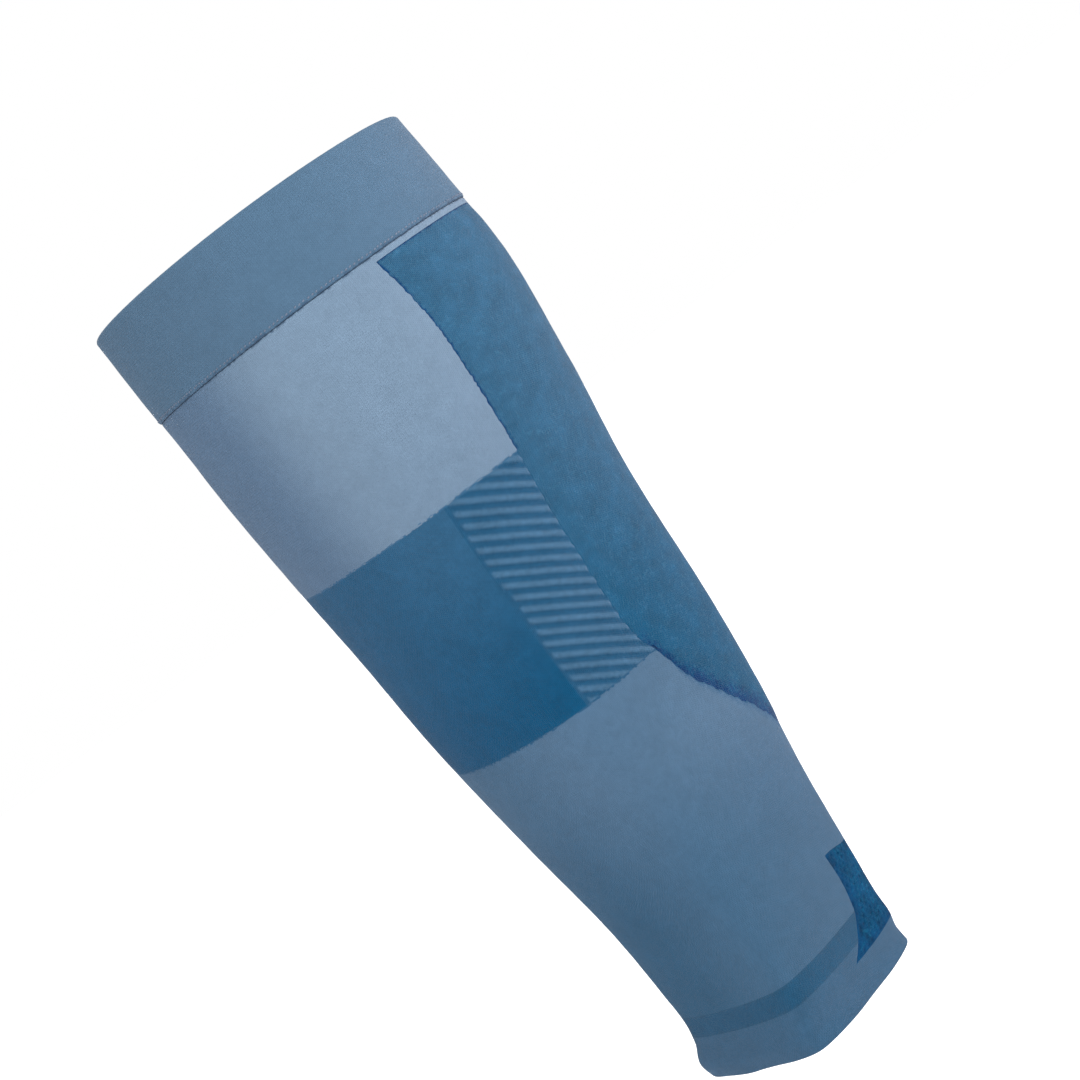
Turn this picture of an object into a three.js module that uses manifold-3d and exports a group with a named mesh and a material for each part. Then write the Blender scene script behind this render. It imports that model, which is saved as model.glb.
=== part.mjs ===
// A calf compression sleeve in its worn form: a knitted tube, knee end up, open at both ends.
// Millimetres, +Z up the leg, the shin faces -Y and the calf faces +Y.
// The origin is on the leg's axis, level with the fullest girth of the calf.
// A place on the sleeve is its turn, in degrees round the leg from the middle of the shin
// by the +X side, and its height above the ankle hem.

import * as THREE from 'three';
import Module from 'manifold-3d';

const wasm = await Module();
wasm.setup();

// Heights of the knitted zones, from the ankle hem up
const ANKLE_CUFF_HEIGHT = 15.7;
const ANKLE_RING_HEIGHT = 7.9;
const LOWER_PANEL_HEIGHT = 111;
const BAND_HEIGHT = 74.5;
const SHIN_PANEL_HEIGHT = 72.4;
const TOP_CUFF_HEIGHT = 33;

// Girth of the leg form, outside the fabric
const ANKLE_WIDTH = 70.8;
const ANKLE_DEPTH = 77.2;
const CALF_WIDTH = 112.4;
const CALF_DEPTH = 121;

// Fabric: how thick each knit is, how far it stands off the leg form, how high a rounded edge
// is, how much of the wall its two faces each give up there, and the gap between two zones
const BODY_WALL = 1.4;
const CALF_WALL = 1.8;
const CALF_RISE = 0.3;
const TOP_CUFF_WALL = 2.4;
const TOP_CUFF_RISE = 0.4;
const ANKLE_CUFF_WALL = 1.9;
const EDGE_HEIGHT = 1.2;
const EDGE_SHARE = 0.28;
const GAP = 0.3;

// Light strip that carries the shin panel's knit round the back, under the top cuff
const STRIP_HEIGHT = 2.2;

// V hem of the calf panel, and the patch over the Achilles tendon
const V_DROP = 50.5;
const PATCH_ABOVE_RING = 20.6;
const PATCH_BELOW_RING = 4.3;

// Raised diagonal ribs: their pitch up the leg, the widths of crest and flank, how far they rise
// and the knit between them lies back, how far each drops on its way to the back, and where the
// first one below the band's top starts
const RIB_PITCH = 4.15;
const RIB_CREST = 1.3;
const RIB_FLANK = 0.7;
const RIB_RISE = 0.8;
const RIB_GROUND = 0.2;
const RIB_DROP = 16.8;
const FIRST_RIB = 2.6;

// Grid steps that neighbouring zones share: each way from the back's middle line to the calf
// panel's corner, and up each zone that borders the calf panel or the Achilles patch
const BEHIND_STEPS = 8;
const BAND_ROWS = 6;
const SHIN_ROWS = 6;
const RING_ROWS = 2;
const BESIDE_PATCH_ROWS = 3;

// Turns of the upright borders
const BACK = 180;
const FULL_TURN = 360;
const RIB_FRONT = 95;

// Steps to each side over which slopes on the form are measured, in degrees and in millimetres
const TURN_STEP = 0.5;
const HEIGHT_STEP = 0.5;

// Sections of the leg form. up is a share of the sleeve's length. depth and width go from 0 at the
// ankle's size to 1 at the calf's. shift moves a section to the back, as a share of the calf's
// depth. roundness is 2 for an ellipse and 1 for a rhombus, and egg narrows it at the shin.
const SECTIONS = [
  { up: 0, depth: 0.027, width: 0.106, shift: -0.032, roundness: 1.18, egg: 0.03 },
  { up: 0.019, depth: 0.055, width: 0.106, shift: -0.04, roundness: 1.18, egg: 0.03 },
  { up: 0.041, depth: 0.046, width: 0.038, shift: -0.018, roundness: 1.2, egg: 0.03 },
  { up: 0.067, depth: 0, width: 0, shift: -0.014, roundness: 1.23, egg: 0.03 },
  { up: 0.099, depth: 0.027, width: 0.01, shift: -0.01, roundness: 1.29, egg: 0.03 },
  { up: 0.194, depth: 0.128, width: 0.135, shift: -0.002, roundness: 1.48, egg: 0.03 },
  { up: 0.321, depth: 0.374, width: 0.346, shift: 0.002, roundness: 1.62, egg: 0.04 },
  { up: 0.448, depth: 0.566, width: 0.548, shift: 0.002, roundness: 1.7, egg: 0.05 },
  { up: 0.576, depth: 0.676, width: 0.721, shift: 0.007, roundness: 1.76, egg: 0.06 },
  { up: 0.703, depth: 0.872, width: 0.885, shift: 0.022, roundness: 1.8, egg: 0.06 },
  { up: 0.836, depth: 1, width: 0.99, shift: 0.034, roundness: 1.84, egg: 0.06 },
  { up: 0.925, depth: 0.986, width: 1, shift: 0.026, roundness: 1.86, egg: 0.05 },
  { up: 1, depth: 0.95, width: 0.981, shift: 0.019, roundness: 1.88, egg: 0.04 },
];
const FULLEST = SECTIONS[10];
const CORNER_SOFTNESS = 0.1;

// Front edge of the calf panel: rise is a share of the way from the band's foot to the strip
const CALF_EDGE = [
  { rise: 0, turn: 129.3 },
  { rise: 0.04, turn: 126 },
  { rise: 0.12, turn: 124.6 },
  { rise: 0.3, turn: 125.2 },
  { rise: 0.6, turn: 125.8 },
  { rise: 0.8, turn: 124.9 },
  { rise: 1, turn: 121.6 },
];

// V hem of the calf panel: back is a share of the way round from its corner to the back,
// drop a share of the V's drop
const V_HEM = [
  { back: 0, drop: 0 },
  { back: 0.13, drop: 0.26 },
  { back: 0.32, drop: 0.47 },
  { back: 0.56, drop: 0.675 },
  { back: 1, drop: 1 },
];

// Side of the Achilles patch: rise is a share of the patch's height
const PATCH_SIDE = [
  { rise: 0, turn: 134.3 },
  { rise: 0.17, turn: 145.6 },
  { rise: 0.4, turn: 154.4 },
  { rise: 0.7, turn: 156 },
  { rise: 1, turn: 154.3 },
];

const COLOURS = {
  cuff: 0x5f7c99,
  shin: 0x6a849d,
  calf: 0x44708f,
  band: 0x315f84,
  rib: 0x5b7890,
  lower: 0x547391,
  ring: 0x2d5777,
  patch: 0x20527a,
  hem: 0x48657c,
};

// Levels of the borders between zones, above the ankle hem
const RING_FOOT = ANKLE_CUFF_HEIGHT;
const RING_TOP = RING_FOOT + ANKLE_RING_HEIGHT;
const BAND_FOOT = RING_TOP + LOWER_PANEL_HEIGHT;
const BAND_TOP = BAND_FOOT + BAND_HEIGHT;
const SEAM = BAND_TOP + SHIN_PANEL_HEIGHT;
const RIM = SEAM + TOP_CUFF_HEIGHT;
const STRIP_FOOT = SEAM - STRIP_HEIGHT;
const PATCH_FOOT = RING_FOOT - PATCH_BELOW_RING;
const PATCH_TOP = RING_TOP + PATCH_ABOVE_RING;
const ORIGIN_HEIGHT = RIM * FULLEST.up;
const HALF_GAP = GAP / 2;

const { lerp, clamp, degToRad } = THREE.MathUtils;

// Slope of a table's curve at one of its rows, level at a highest or lowest row
function slopeAt(table, by, column, row) {
  const rise = (a, b) => (table[b][column] - table[a][column]) / (table[b][by] - table[a][by]);
  if (row === 0) return rise(0, 1);
  if (row === table.length - 1) return rise(row - 1, row);
  const before = rise(row - 1, row);
  const after = rise(row, row + 1);
  return before * after > 0 ? (2 * before * after) / (before + after) : 0;
}

// Value of a table's column on the smooth curve through its rows, held at its two ends
function read(table, by, column, at) {
  const last = table.length - 1;
  const place = clamp(at, table[0][by], table[last][by]);
  const next = Math.max(1, table.findIndex((row) => row[by] >= place));
  const from = table[next - 1];
  const to = table[next];
  const span = to[by] - from[by];
  const s = (place - from[by]) / span;
  const leave = slopeAt(table, by, column, next - 1) * span;
  const arrive = slopeAt(table, by, column, next) * span;
  const change = to[column] - from[column];
  return from[column] + s * leave
    + s * s * (3 * change - 2 * leave - arrive)
    + s * s * s * (leave + arrive - 2 * change);
}

// Half the width and half the depth of the leg form at a height, and its shift to the back
function girth(height) {
  const up = height / RIM;
  return {
    halfWidth: lerp(ANKLE_WIDTH, CALF_WIDTH, read(SECTIONS, 'up', 'width', up)) / 2,
    halfDepth: lerp(ANKLE_DEPTH, CALF_DEPTH, read(SECTIONS, 'up', 'depth', up)) / 2,
    shift: CALF_DEPTH * read(SECTIONS, 'up', 'shift', up),
    roundness: read(SECTIONS, 'up', 'roundness', up),
    egg: read(SECTIONS, 'up', 'egg', up),
  };
}

// How far out a section of unit size reaches in a direction that has this sine and cosine
function reach(sine, cosine, roundness) {
  const sides = Math.hypot(sine, CORNER_SOFTNESS) ** roundness
    + Math.hypot(cosine, CORNER_SOFTNESS) ** roundness;
  const atCorner = Math.hypot(1, CORNER_SOFTNESS) ** roundness + CORNER_SOFTNESS ** roundness;
  return (atCorner / sides) ** (1 / roundness);
}

// Point of the leg form's outside at a turn and a height
function onForm(turn, height) {
  const { halfWidth, halfDepth, shift, roundness, egg } = girth(height);
  const sine = Math.sin(degToRad(turn));
  const cosine = Math.cos(degToRad(turn));
  const out = reach(sine, cosine, roundness);
  return new THREE.Vector3(
    halfWidth * sine * out * (1 - egg * cosine),
    shift - halfDepth * cosine * out,
    height - ORIGIN_HEIGHT,
  );
}

// Point that stands off the leg form, square to it, by a distance
function offForm(turn, height, stand) {
  const low = Math.max(height - HEIGHT_STEP, 0);
  const high = Math.min(height + HEIGHT_STEP, RIM);
  const round = onForm(turn + TURN_STEP, height).sub(onForm(turn - TURN_STEP, height));
  const upward = onForm(turn, high).sub(onForm(turn, low));
  const outward = round.cross(upward).normalize();
  return onForm(turn, height).addScaledVector(outward, stand);
}

// Millimetres round the form for one degree of turn
function arcPerDegree(turn, height) {
  const run = onForm(turn + TURN_STEP, height).distanceTo(onForm(turn - TURN_STEP, height));
  return run / (2 * TURN_STEP);
}

// Degrees of turn that cover a margin measured square to an upright border, which may lean
function marginBeside(border, height, margin) {
  const perDegree = arcPerDegree(border(height), height);
  const change = border(height + HEIGHT_STEP) - border(height - HEIGHT_STEP);
  const lean = (change * perDegree) / (2 * HEIGHT_STEP);
  return (margin * Math.hypot(1, lean)) / perDegree;
}

function calfEdge(height) {
  return read(CALF_EDGE, 'rise', 'turn', (height - BAND_FOOT) / (STRIP_FOOT - BAND_FOOT));
}

function patchSide(height) {
  return read(PATCH_SIDE, 'rise', 'turn', (height - PATCH_FOOT) / (PATCH_TOP - PATCH_FOOT));
}

function ribFront() {
  return RIB_FRONT;
}

// Height of the lower panel's upper border: level round the front, with the V behind
function vHem(turn) {
  const corner = calfEdge(BAND_FOOT);
  const fromFront = Math.abs(turn > BACK ? turn - FULL_TURN : turn);
  const back = (fromFront - corner) / (BACK - corner);
  return BAND_FOOT - V_DROP * read(V_HEM, 'back', 'drop', back);
}

// Height that covers half a gap measured square to the V hem, which slants
function halfGapAtHem(turn) {
  const change = vHem(turn + TURN_STEP) - vHem(turn - TURN_STEP);
  const slant = change / (2 * TURN_STEP * arcPerDegree(turn, vHem(turn)));
  return HALF_GAP * Math.hypot(1, slant);
}

// The calf panel's and the patch's upright borders, and the rib panel's front one, seen from
// the zone in front of each
function beforeCalfEdge(height) {
  return calfEdge(height) - marginBeside(calfEdge, height, HALF_GAP);
}

function beforePatch(height) {
  return patchSide(height) - marginBeside(patchSide, height, HALF_GAP);
}

function beforeRibs(height) {
  return RIB_FRONT - marginBeside(ribFront, height, HALF_GAP);
}

// The same borders seen from the zone behind each
function behindCalfEdge(height) {
  return calfEdge(height) + marginBeside(calfEdge, height, HALF_GAP);
}

function behindPatchSide(height) {
  return patchSide(height) + marginBeside(patchSide, height, HALF_GAP);
}

// Values spread evenly between stops, with the given number of steps from each stop to the next
function spread(stops, steps) {
  const values = [stops[0]];
  steps.forEach((count, k) => {
    for (let n = 1; n <= count; n += 1) values.push(lerp(stops[k], stops[k + 1], n / count));
  });
  return values;
}

// Closed geometry from a grid on the leg form. columns and rows count its cells, and closed joins
// the last column to the first. place gives a grid point's turn and height, has says which cells
// are there, and outer and inner give how far the two faces stand off at a grid point.
function knit({ columns, rows, closed, place, has = () => true, outer, inner }) {
  const around = closed ? columns : columns + 1;
  const points = around * (rows + 1);
  const positions = [];
  for (const stand of [outer, inner]) {
    for (let i = 0; i < around; i += 1) {
      for (let j = 0; j <= rows; j += 1) {
        const { turn, height } = place(i, j);
        positions.push(...offForm(turn, height, stand(j)));
      }
    }
  }
  const there = (i, j) => {
    const column = closed ? (i + columns) % columns : i;
    return column >= 0 && column < columns && j >= 0 && j < rows && has(column, j);
  };
  const at = (i, j) => (i % around) * (rows + 1) + j;
  const triangles = [];
  for (let i = 0; i < columns; i += 1) {
    for (let j = 0; j < rows; j += 1) {
      if (!there(i, j)) continue;
      const a = at(i, j);
      const b = at(i + 1, j);
      const c = at(i + 1, j + 1);
      const d = at(i, j + 1);
      triangles.push(a, b, c, a, c, d);
      triangles.push(points + a, points + c, points + b, points + a, points + d, points + c);
      const sides = [[a, b, i, j - 1], [b, c, i + 1, j], [c, d, i, j + 1], [d, a, i - 1, j]];
      for (const [from, to, besideI, besideJ] of sides) {
        if (there(besideI, besideJ)) continue;
        triangles.push(to, from, points + from, to, points + from, points + to);
      }
    }
  }
  return trimmed(positions, triangles);
}

// Geometry that keeps only the points its triangles use
function trimmed(positions, triangles) {
  const kept = new Map();
  const used = [];
  const index = triangles.map((point) => {
    if (!kept.has(point)) {
      kept.set(point, kept.size);
      used.push(...positions.slice(3 * point, 3 * point + 3));
    }
    return kept.get(point);
  });
  const geometry = new THREE.BufferGeometry();
  geometry.setAttribute('position', new THREE.Float32BufferAttribute(used, 3));
  geometry.setIndex(index);
  return geometry;
}

// Place function of a panel between four borders: left and right turns that depend on the height,
// foot and top heights that depend on the turn. ups gives the rows, as shares of the way up.
function between({ left, right, foot, top, columns, ups }) {
  const passes = 7;
  return (i, j) => {
    const across = i / columns;
    const up = ups[j];
    let turn = lerp(left(BAND_FOOT), right(BAND_FOOT), across);
    let height = lerp(foot(turn), top(turn), up);
    for (let pass = 0; pass < passes; pass += 1) {
      turn = lerp(left(height), right(height), across);
      height = lerp(foot(turn), top(turn), up);
    }
    return { turn, height };
  };
}

function panel(borders, stands) {
  const { columns, ups } = borders;
  return knit({ columns, rows: ups.length - 1, closed: false, place: between(borders), ...stands });
}

// Stands of a knit of one thickness, with its two faces drawn together at the rows named as edges
function stands(wall, rise, edges = []) {
  const ease = (j) => (edges.includes(j) ? EDGE_SHARE * wall : 0);
  return {
    outer: (j) => rise - ease(j),
    inner: (j) => rise - wall + ease(j),
  };
}

function toSolid(geometry) {
  return new wasm.Manifold(new wasm.Mesh({
    numProp: 3,
    vertProperties: new Float32Array(geometry.attributes.position.array),
    triVerts: new Uint32Array(geometry.index.array),
  }));
}

function toGeometry(solid) {
  const { vertProperties, triVerts } = solid.getMesh();
  const geometry = new THREE.BufferGeometry();
  geometry.setAttribute('position', new THREE.BufferAttribute(vertProperties, 3));
  geometry.setIndex(new THREE.BufferAttribute(triVerts, 1));
  return geometry;
}

// Band that grips below the knee: knitted double and turned over at the rim
function topCuff() {
  const foot = SEAM + HALF_GAP;
  const levels = spread([foot, foot + EDGE_HEIGHT, RIM - EDGE_HEIGHT, RIM], [1, 2, 1]);
  const columns = 48;
  return knit({
    columns,
    rows: levels.length - 1,
    closed: true,
    place: (i, j) => ({ turn: (FULL_TURN * i) / columns, height: levels[j] }),
    ...stands(TOP_CUFF_WALL, TOP_CUFF_RISE, [0, levels.length - 1]),
  });
}

// Plain light knit over the upper shin, with its strip round the back under the top cuff
function shinPanel() {
  const stops = [BAND_TOP + HALF_GAP, STRIP_FOOT + HALF_GAP, SEAM - HALF_GAP];
  const levels = spread(stops, [SHIN_ROWS, 1]);
  const frontSteps = 30;
  const backSteps = 14;
  const place = (i, j) => {
    const edge = j <= SHIN_ROWS ? beforeCalfEdge(levels[j]) : calfEdge(levels[j]);
    const turns = spread([-edge, edge, FULL_TURN - edge], [frontSteps, backSteps]);
    return { turn: turns[i], height: levels[j] };
  };
  return knit({
    columns: frontSteps + backSteps,
    rows: levels.length - 1,
    closed: true,
    place,
    has: (i, j) => i < frontSteps || j >= SHIN_ROWS,
    ...stands(BODY_WALL, 0),
  });
}

// Thicker heathered knit behind, from the strip down to the V
function calfPanel() {
  return panel({
    left: behindCalfEdge,
    right: (height) => FULL_TURN - behindCalfEdge(height),
    foot: (turn) => vHem(turn) + halfGapAtHem(turn),
    top: () => STRIP_FOOT - HALF_GAP,
    columns: 2 * BEHIND_STEPS,
    ups: spread([0, (BAND_TOP - BAND_FOOT) / (STRIP_FOOT - BAND_FOOT), 1], [BAND_ROWS, SHIN_ROWS]),
  }, stands(CALF_WALL, CALF_RISE));
}

// Smooth dark band over the middle of the shin, between the two rib panels
function shinBand() {
  return panel({
    left: (height) => -beforeRibs(height),
    right: beforeRibs,
    foot: () => BAND_FOOT + HALF_GAP,
    top: () => BAND_TOP - HALF_GAP,
    columns: 22,
    ups: spread([0, 1], [BAND_ROWS]),
  }, stands(BODY_WALL, 0));
}

// Outline of the rib panel on the +X side, drawn in from its borders by a margin
function ribOutline(margin) {
  return {
    left: (height) => RIB_FRONT + marginBeside(ribFront, height, margin),
    right: (height) => calfEdge(height) - marginBeside(calfEdge, height, margin),
    foot: () => BAND_FOOT + margin,
    top: () => BAND_TOP - margin,
    columns: 3,
    ups: spread([0, 1], [BAND_ROWS]),
  };
}

// One diagonal rib across the panel, from its height at the panel's front edge. It runs past both
// sides, to be trimmed, and is sunk into the panel.
function ribBar(frontHeight, sunk) {
  const toFoot = RIB_CREST / 2 + RIB_FLANK;
  const across = [-toFoot, -RIB_CREST / 2, RIB_CREST / 2, toFoot];
  const columns = 3;
  const spare = 2;
  const ends = spread([RIB_FRONT - spare, calfEdge(BAND_FOOT) + spare], [columns]);
  const steepness = RIB_DROP / (calfEdge(BAND_TOP) - RIB_FRONT);
  return knit({
    columns,
    rows: 3,
    closed: false,
    place: (i, j) => ({
      turn: ends[i],
      height: frontHeight - steepness * (ends[i] - RIB_FRONT) + across[j],
    }),
    outer: (j) => (j === 1 || j === 2 ? RIB_RISE : 0),
    inner: () => -sunk,
  });
}

// Panel of diagonal ribs, low at the back, on the +X side of the shin band
function ribPanel() {
  const trim = toSolid(panel(ribOutline(GAP), stands(BODY_WALL + 2 * RIB_RISE, 2 * RIB_RISE)));
  const ground = stands(BODY_WALL - RIB_GROUND, -RIB_GROUND);
  let solid = toSolid(panel(ribOutline(HALF_GAP), ground));
  const highest = BAND_TOP - FIRST_RIB + Math.ceil(RIB_DROP / RIB_PITCH) * RIB_PITCH;
  for (let height = highest; height > BAND_FOOT - RIB_CREST; height -= RIB_PITCH) {
    const rib = toSolid(ribBar(height, BODY_WALL / 2)).intersect(trim);
    solid = solid.add(rib);
  }
  return toGeometry(solid);
}

// The same geometry on the other side of the leg, with its faces turned to point out again
function mirrored(geometry) {
  const mirror = geometry.clone().scale(-1, 1, 1);
  const index = Array.from(mirror.index.array);
  for (let k = 0; k < index.length; k += 3) {
    [index[k + 1], index[k + 2]] = [index[k + 2], index[k + 1]];
  }
  mirror.setIndex(index);
  return mirror;
}

// Mid-tone knit from the band down to the ankle, cut out round the Achilles patch
function lowerPanel() {
  const lowRows = BESIDE_PATCH_ROWS;
  const highRows = 7;
  const corner = calfEdge(BAND_FOOT);
  const behind = lerp(corner, BACK, 0.5);
  const besideSteps = BEHIND_STEPS / 2;
  const shinSteps = 28;
  const frontSteps = shinSteps + 2 * besideSteps;
  const stops = [-behind, -corner, corner, behind, FULL_TURN - behind];
  const turns = spread(stops, [besideSteps, shinSteps, besideSteps, BEHIND_STEPS]);
  const drawnTo = (i, side) => {
    if (i <= frontSteps) return (turns[i] * side) / behind;
    return spread([side, FULL_TURN - side], [BEHIND_STEPS])[i - frontSteps];
  };
  const place = (i, j) => {
    if (j <= lowRows) {
      const height = lerp(RING_TOP + HALF_GAP, PATCH_TOP + HALF_GAP, j / lowRows);
      return { turn: drawnTo(i, beforePatch(height)), height };
    }
    const up = (j - lowRows) / highRows;
    const top = vHem(turns[i]) - halfGapAtHem(turns[i]);
    return {
      turn: lerp(drawnTo(i, beforePatch(PATCH_TOP)), turns[i], up),
      height: lerp(PATCH_TOP + HALF_GAP, top, up),
    };
  };
  return knit({
    columns: frontSteps + BEHIND_STEPS,
    rows: lowRows + highRows,
    closed: true,
    place,
    has: (i, j) => i < frontSteps || j >= lowRows,
    ...stands(BODY_WALL, 0),
  });
}

// Dark stripe round the front of the ankle, from one side of the Achilles patch to the other
function ankleRing() {
  return panel({
    left: (height) => -beforePatch(height),
    right: beforePatch,
    foot: () => RING_FOOT + HALF_GAP,
    top: () => RING_TOP - HALF_GAP,
    columns: 34,
    ups: spread([0, 1], [RING_ROWS]),
  }, stands(BODY_WALL, 0));
}

// Mesh patch over the Achilles tendon, wider at its foot
function achillesPatch() {
  const upTo = (height) => (height - PATCH_FOOT) / (PATCH_TOP - PATCH_FOOT);
  return panel({
    left: behindPatchSide,
    right: (height) => FULL_TURN - behindPatchSide(height),
    foot: () => PATCH_FOOT + HALF_GAP,
    top: () => PATCH_TOP - HALF_GAP,
    columns: 10,
    ups: spread([0, upTo(RING_FOOT), upTo(RING_TOP), 1], [1, RING_ROWS, BESIDE_PATCH_ROWS]),
  }, stands(BODY_WALL, 0));
}

// Soft flared cuff at the ankle, its hem turned in, lower at the back under the Achilles patch
function ankleCuff() {
  const lowRows = 3;
  const stops = [0, EDGE_HEIGHT, PATCH_FOOT - HALF_GAP, RING_FOOT - HALF_GAP];
  const levels = spread(stops, [1, 2, 1]);
  const frontSteps = 34;
  const backSteps = 12;
  const place = (i, j) => {
    const side = beforePatch(levels[j]);
    const turns = spread([-side, side, FULL_TURN - side], [frontSteps, backSteps]);
    return { turn: turns[i], height: levels[j] };
  };
  return knit({
    columns: frontSteps + backSteps,
    rows: levels.length - 1,
    closed: true,
    place,
    has: (i, j) => i < frontSteps || j < lowRows,
    ...stands(ANKLE_CUFF_WALL, 0, [0]),
  });
}

function fabric(colour) {
  return new THREE.MeshStandardMaterial({ color: colour, roughness: 0.95, metalness: 0 });
}

const sleeve = new THREE.Group();
const ribs = ribPanel();
const pieces = [
  ['top_cuff', topCuff(), COLOURS.cuff],
  ['shin_panel', shinPanel(), COLOURS.shin],
  ['calf_panel', calfPanel(), COLOURS.calf],
  ['shin_band', shinBand(), COLOURS.band],
  ['rib_panel_left', ribs, COLOURS.rib],
  ['rib_panel_right', mirrored(ribs), COLOURS.rib],
  ['lower_panel', lowerPanel(), COLOURS.lower],
  ['ankle_ring', ankleRing(), COLOURS.ring],
  ['achilles_patch', achillesPatch(), COLOURS.patch],
  ['ankle_cuff', ankleCuff(), COLOURS.hem],
];
for (const [name, geometry, colour] of pieces) {
  geometry.computeVertexNormals();
  const mesh = new THREE.Mesh(geometry, fabric(colour));
  mesh.name = name;
  sleeve.add(mesh);
}

export default sleeve;
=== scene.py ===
"""A knitted calf sleeve, dressed for its portrait and lit in a plain studio."""

import logging
import math
from dataclasses import dataclass, field
from enum import Enum
from typing import Callable, Optional, Union

import bpy
import numpy as np
from mathutils import Matrix, Vector


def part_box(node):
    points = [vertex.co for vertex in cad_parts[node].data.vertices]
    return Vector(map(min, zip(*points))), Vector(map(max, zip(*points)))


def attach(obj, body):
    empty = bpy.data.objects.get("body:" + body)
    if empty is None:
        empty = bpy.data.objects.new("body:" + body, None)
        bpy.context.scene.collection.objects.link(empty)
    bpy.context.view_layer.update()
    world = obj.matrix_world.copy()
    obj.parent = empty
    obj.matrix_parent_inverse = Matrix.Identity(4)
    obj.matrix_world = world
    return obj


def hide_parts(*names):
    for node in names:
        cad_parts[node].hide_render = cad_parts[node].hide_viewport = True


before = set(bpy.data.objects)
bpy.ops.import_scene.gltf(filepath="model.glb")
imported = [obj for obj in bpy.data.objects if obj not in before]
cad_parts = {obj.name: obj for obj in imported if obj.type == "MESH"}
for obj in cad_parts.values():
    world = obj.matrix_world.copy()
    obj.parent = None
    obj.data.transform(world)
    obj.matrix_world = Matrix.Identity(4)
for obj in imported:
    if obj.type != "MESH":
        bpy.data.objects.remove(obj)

LOG = logging.getLogger("calf_sleeve")
MM = 0.001
# half the way over which the form's slope is taken, in degrees or millimetres
NEAR = 0.5
# angle between two faces, in degrees, from which their edge shows as sharp
SHARP = 48
# what each face of a fold stops short of its middle, in millimetres, so that they never cross
CLEAR = 0.02
# passes that settle a grid whose borders depend on each other
PASSES = 8
# turns over which a girth is averaged
GIRTH = np.linspace(0, 360, 37)
# slope, as a sum of two, that counts as level
LEVEL = 1e-12
# factors of the fixed scatter: for the number, the seed and the spread
SCATTER = (12.9898, 78.233, 43758.5453)

Table = tuple[tuple[float, ...], ...]
Border = Callable[[np.ndarray], np.ndarray]
Value = Union[float, bpy.types.NodeSocket]
Yarn = tuple[int, int, int]


# Curves and noise


class Seed(float, Enum):
    """Seeds of the fixed scatter, one for each use."""

    CALF_EDGE = 0.4
    V_HEM = 0.9
    RIB_START = 0.3
    HOLES = 0.6
    STITCH_PLACE = 0.7
    STITCH_LEVEL = 0.2


def follow(table: Table, at: np.ndarray, column: int = 1) -> np.ndarray:
    """Reads a column of a table on the smooth curve through its rows.

    Args:
        table: Rows whose first value rises from row to row.
        at: Places along the first column, held at its two ends.
        column: The column to read.

    Returns:
        The column's value at each place, level at a highest or lowest row.
    """
    rows = np.array(table, float)
    x, y = rows[:, 0], rows[:, column]
    step = np.diff(y) / np.diff(x)
    before, after = step[:-1], step[1:]
    total = np.where(np.abs(before + after) < LEVEL, 1.0, before + after)
    inner = np.where(before * after > 0, 2 * before * after / total, 0.0)
    slope = np.concatenate([step[:1], inner, step[-1:]])
    place = np.clip(at, x[0], x[-1])
    upper = np.clip(np.searchsorted(x, place, side="left"), 1, len(x) - 1)
    lower = upper - 1
    span = x[upper] - x[lower]
    s = (place - x[lower]) / span
    change = y[upper] - y[lower]
    leave, arrive = slope[lower] * span, slope[upper] * span
    return (
        y[lower]
        + s * leave
        + s * s * (3 * change - 2 * leave - arrive)
        + s * s * s * (leave + arrive - 2 * change)
    )


def lerp(low: np.ndarray, high: np.ndarray, share: np.ndarray) -> np.ndarray:
    """Value a share of the way from low to high."""
    return low + (high - low) * share


def ease(x: np.ndarray) -> np.ndarray:
    """Smooth step from 0 at 0 to 1 at 1, held beyond."""
    t = np.clip(x, 0.0, 1.0)
    return t * t * (3 - 2 * t)


def scatter(number: np.ndarray, seed: Seed) -> np.ndarray:
    """Fixed value from -1 to 1 for each whole number, the same in every run."""
    wave = np.sin(np.floor(number) * SCATTER[0] + float(seed) * SCATTER[1]) * SCATTER[2]
    return 2 * (wave - np.floor(wave)) - 1


def fray(number: np.ndarray, seed: Seed) -> np.ndarray:
    """Smooth run from one whole number's fixed value to the next one's."""
    share = ease(number - np.floor(number))
    return lerp(scatter(number, seed), scatter(number + 1, seed), share)


def turned_edge(distance: np.ndarray, radius: float) -> np.ndarray:
    """Millimetres by which a face draws in beside a rounded edge, at distances from it."""
    past = radius - np.clip(distance, 0.0, radius)
    return radius - np.sqrt(np.maximum(radius * radius - past * past, 0.0))


def steps(width: float, pitch: float) -> np.ndarray:
    """Rising shares of a width from 0 to 1, one for each pitch."""
    return np.linspace(0, width, max(1, round(width / pitch)) + 1) / width


def from_shin(turn: np.ndarray) -> np.ndarray:
    """Degrees from the middle of the shin, by the shorter way."""
    return np.abs((turn + 180) % 360 - 180)


def ramp_from_shin(turn: np.ndarray, start: float, reach: float) -> np.ndarray:
    """Ramp round the leg: 0 from the shin to a start, 1 a reach further round the leg."""
    return ease((from_shin(turn) - start) / reach)


# The leg's form


@dataclass(frozen=True)
class Levels:
    """Heights of the borders between the knitted zones, in millimetres above the ankle hem."""

    patch_foot: float = 11.4
    ring_foot: float = 15.7
    ring_top: float = 23.6
    patch_top: float = 44.2
    band_foot: float = 134.6
    band_top: float = 209.1
    strip_foot: float = 279.3
    seam: float = 281.5
    rim: float = 314.5


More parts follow.
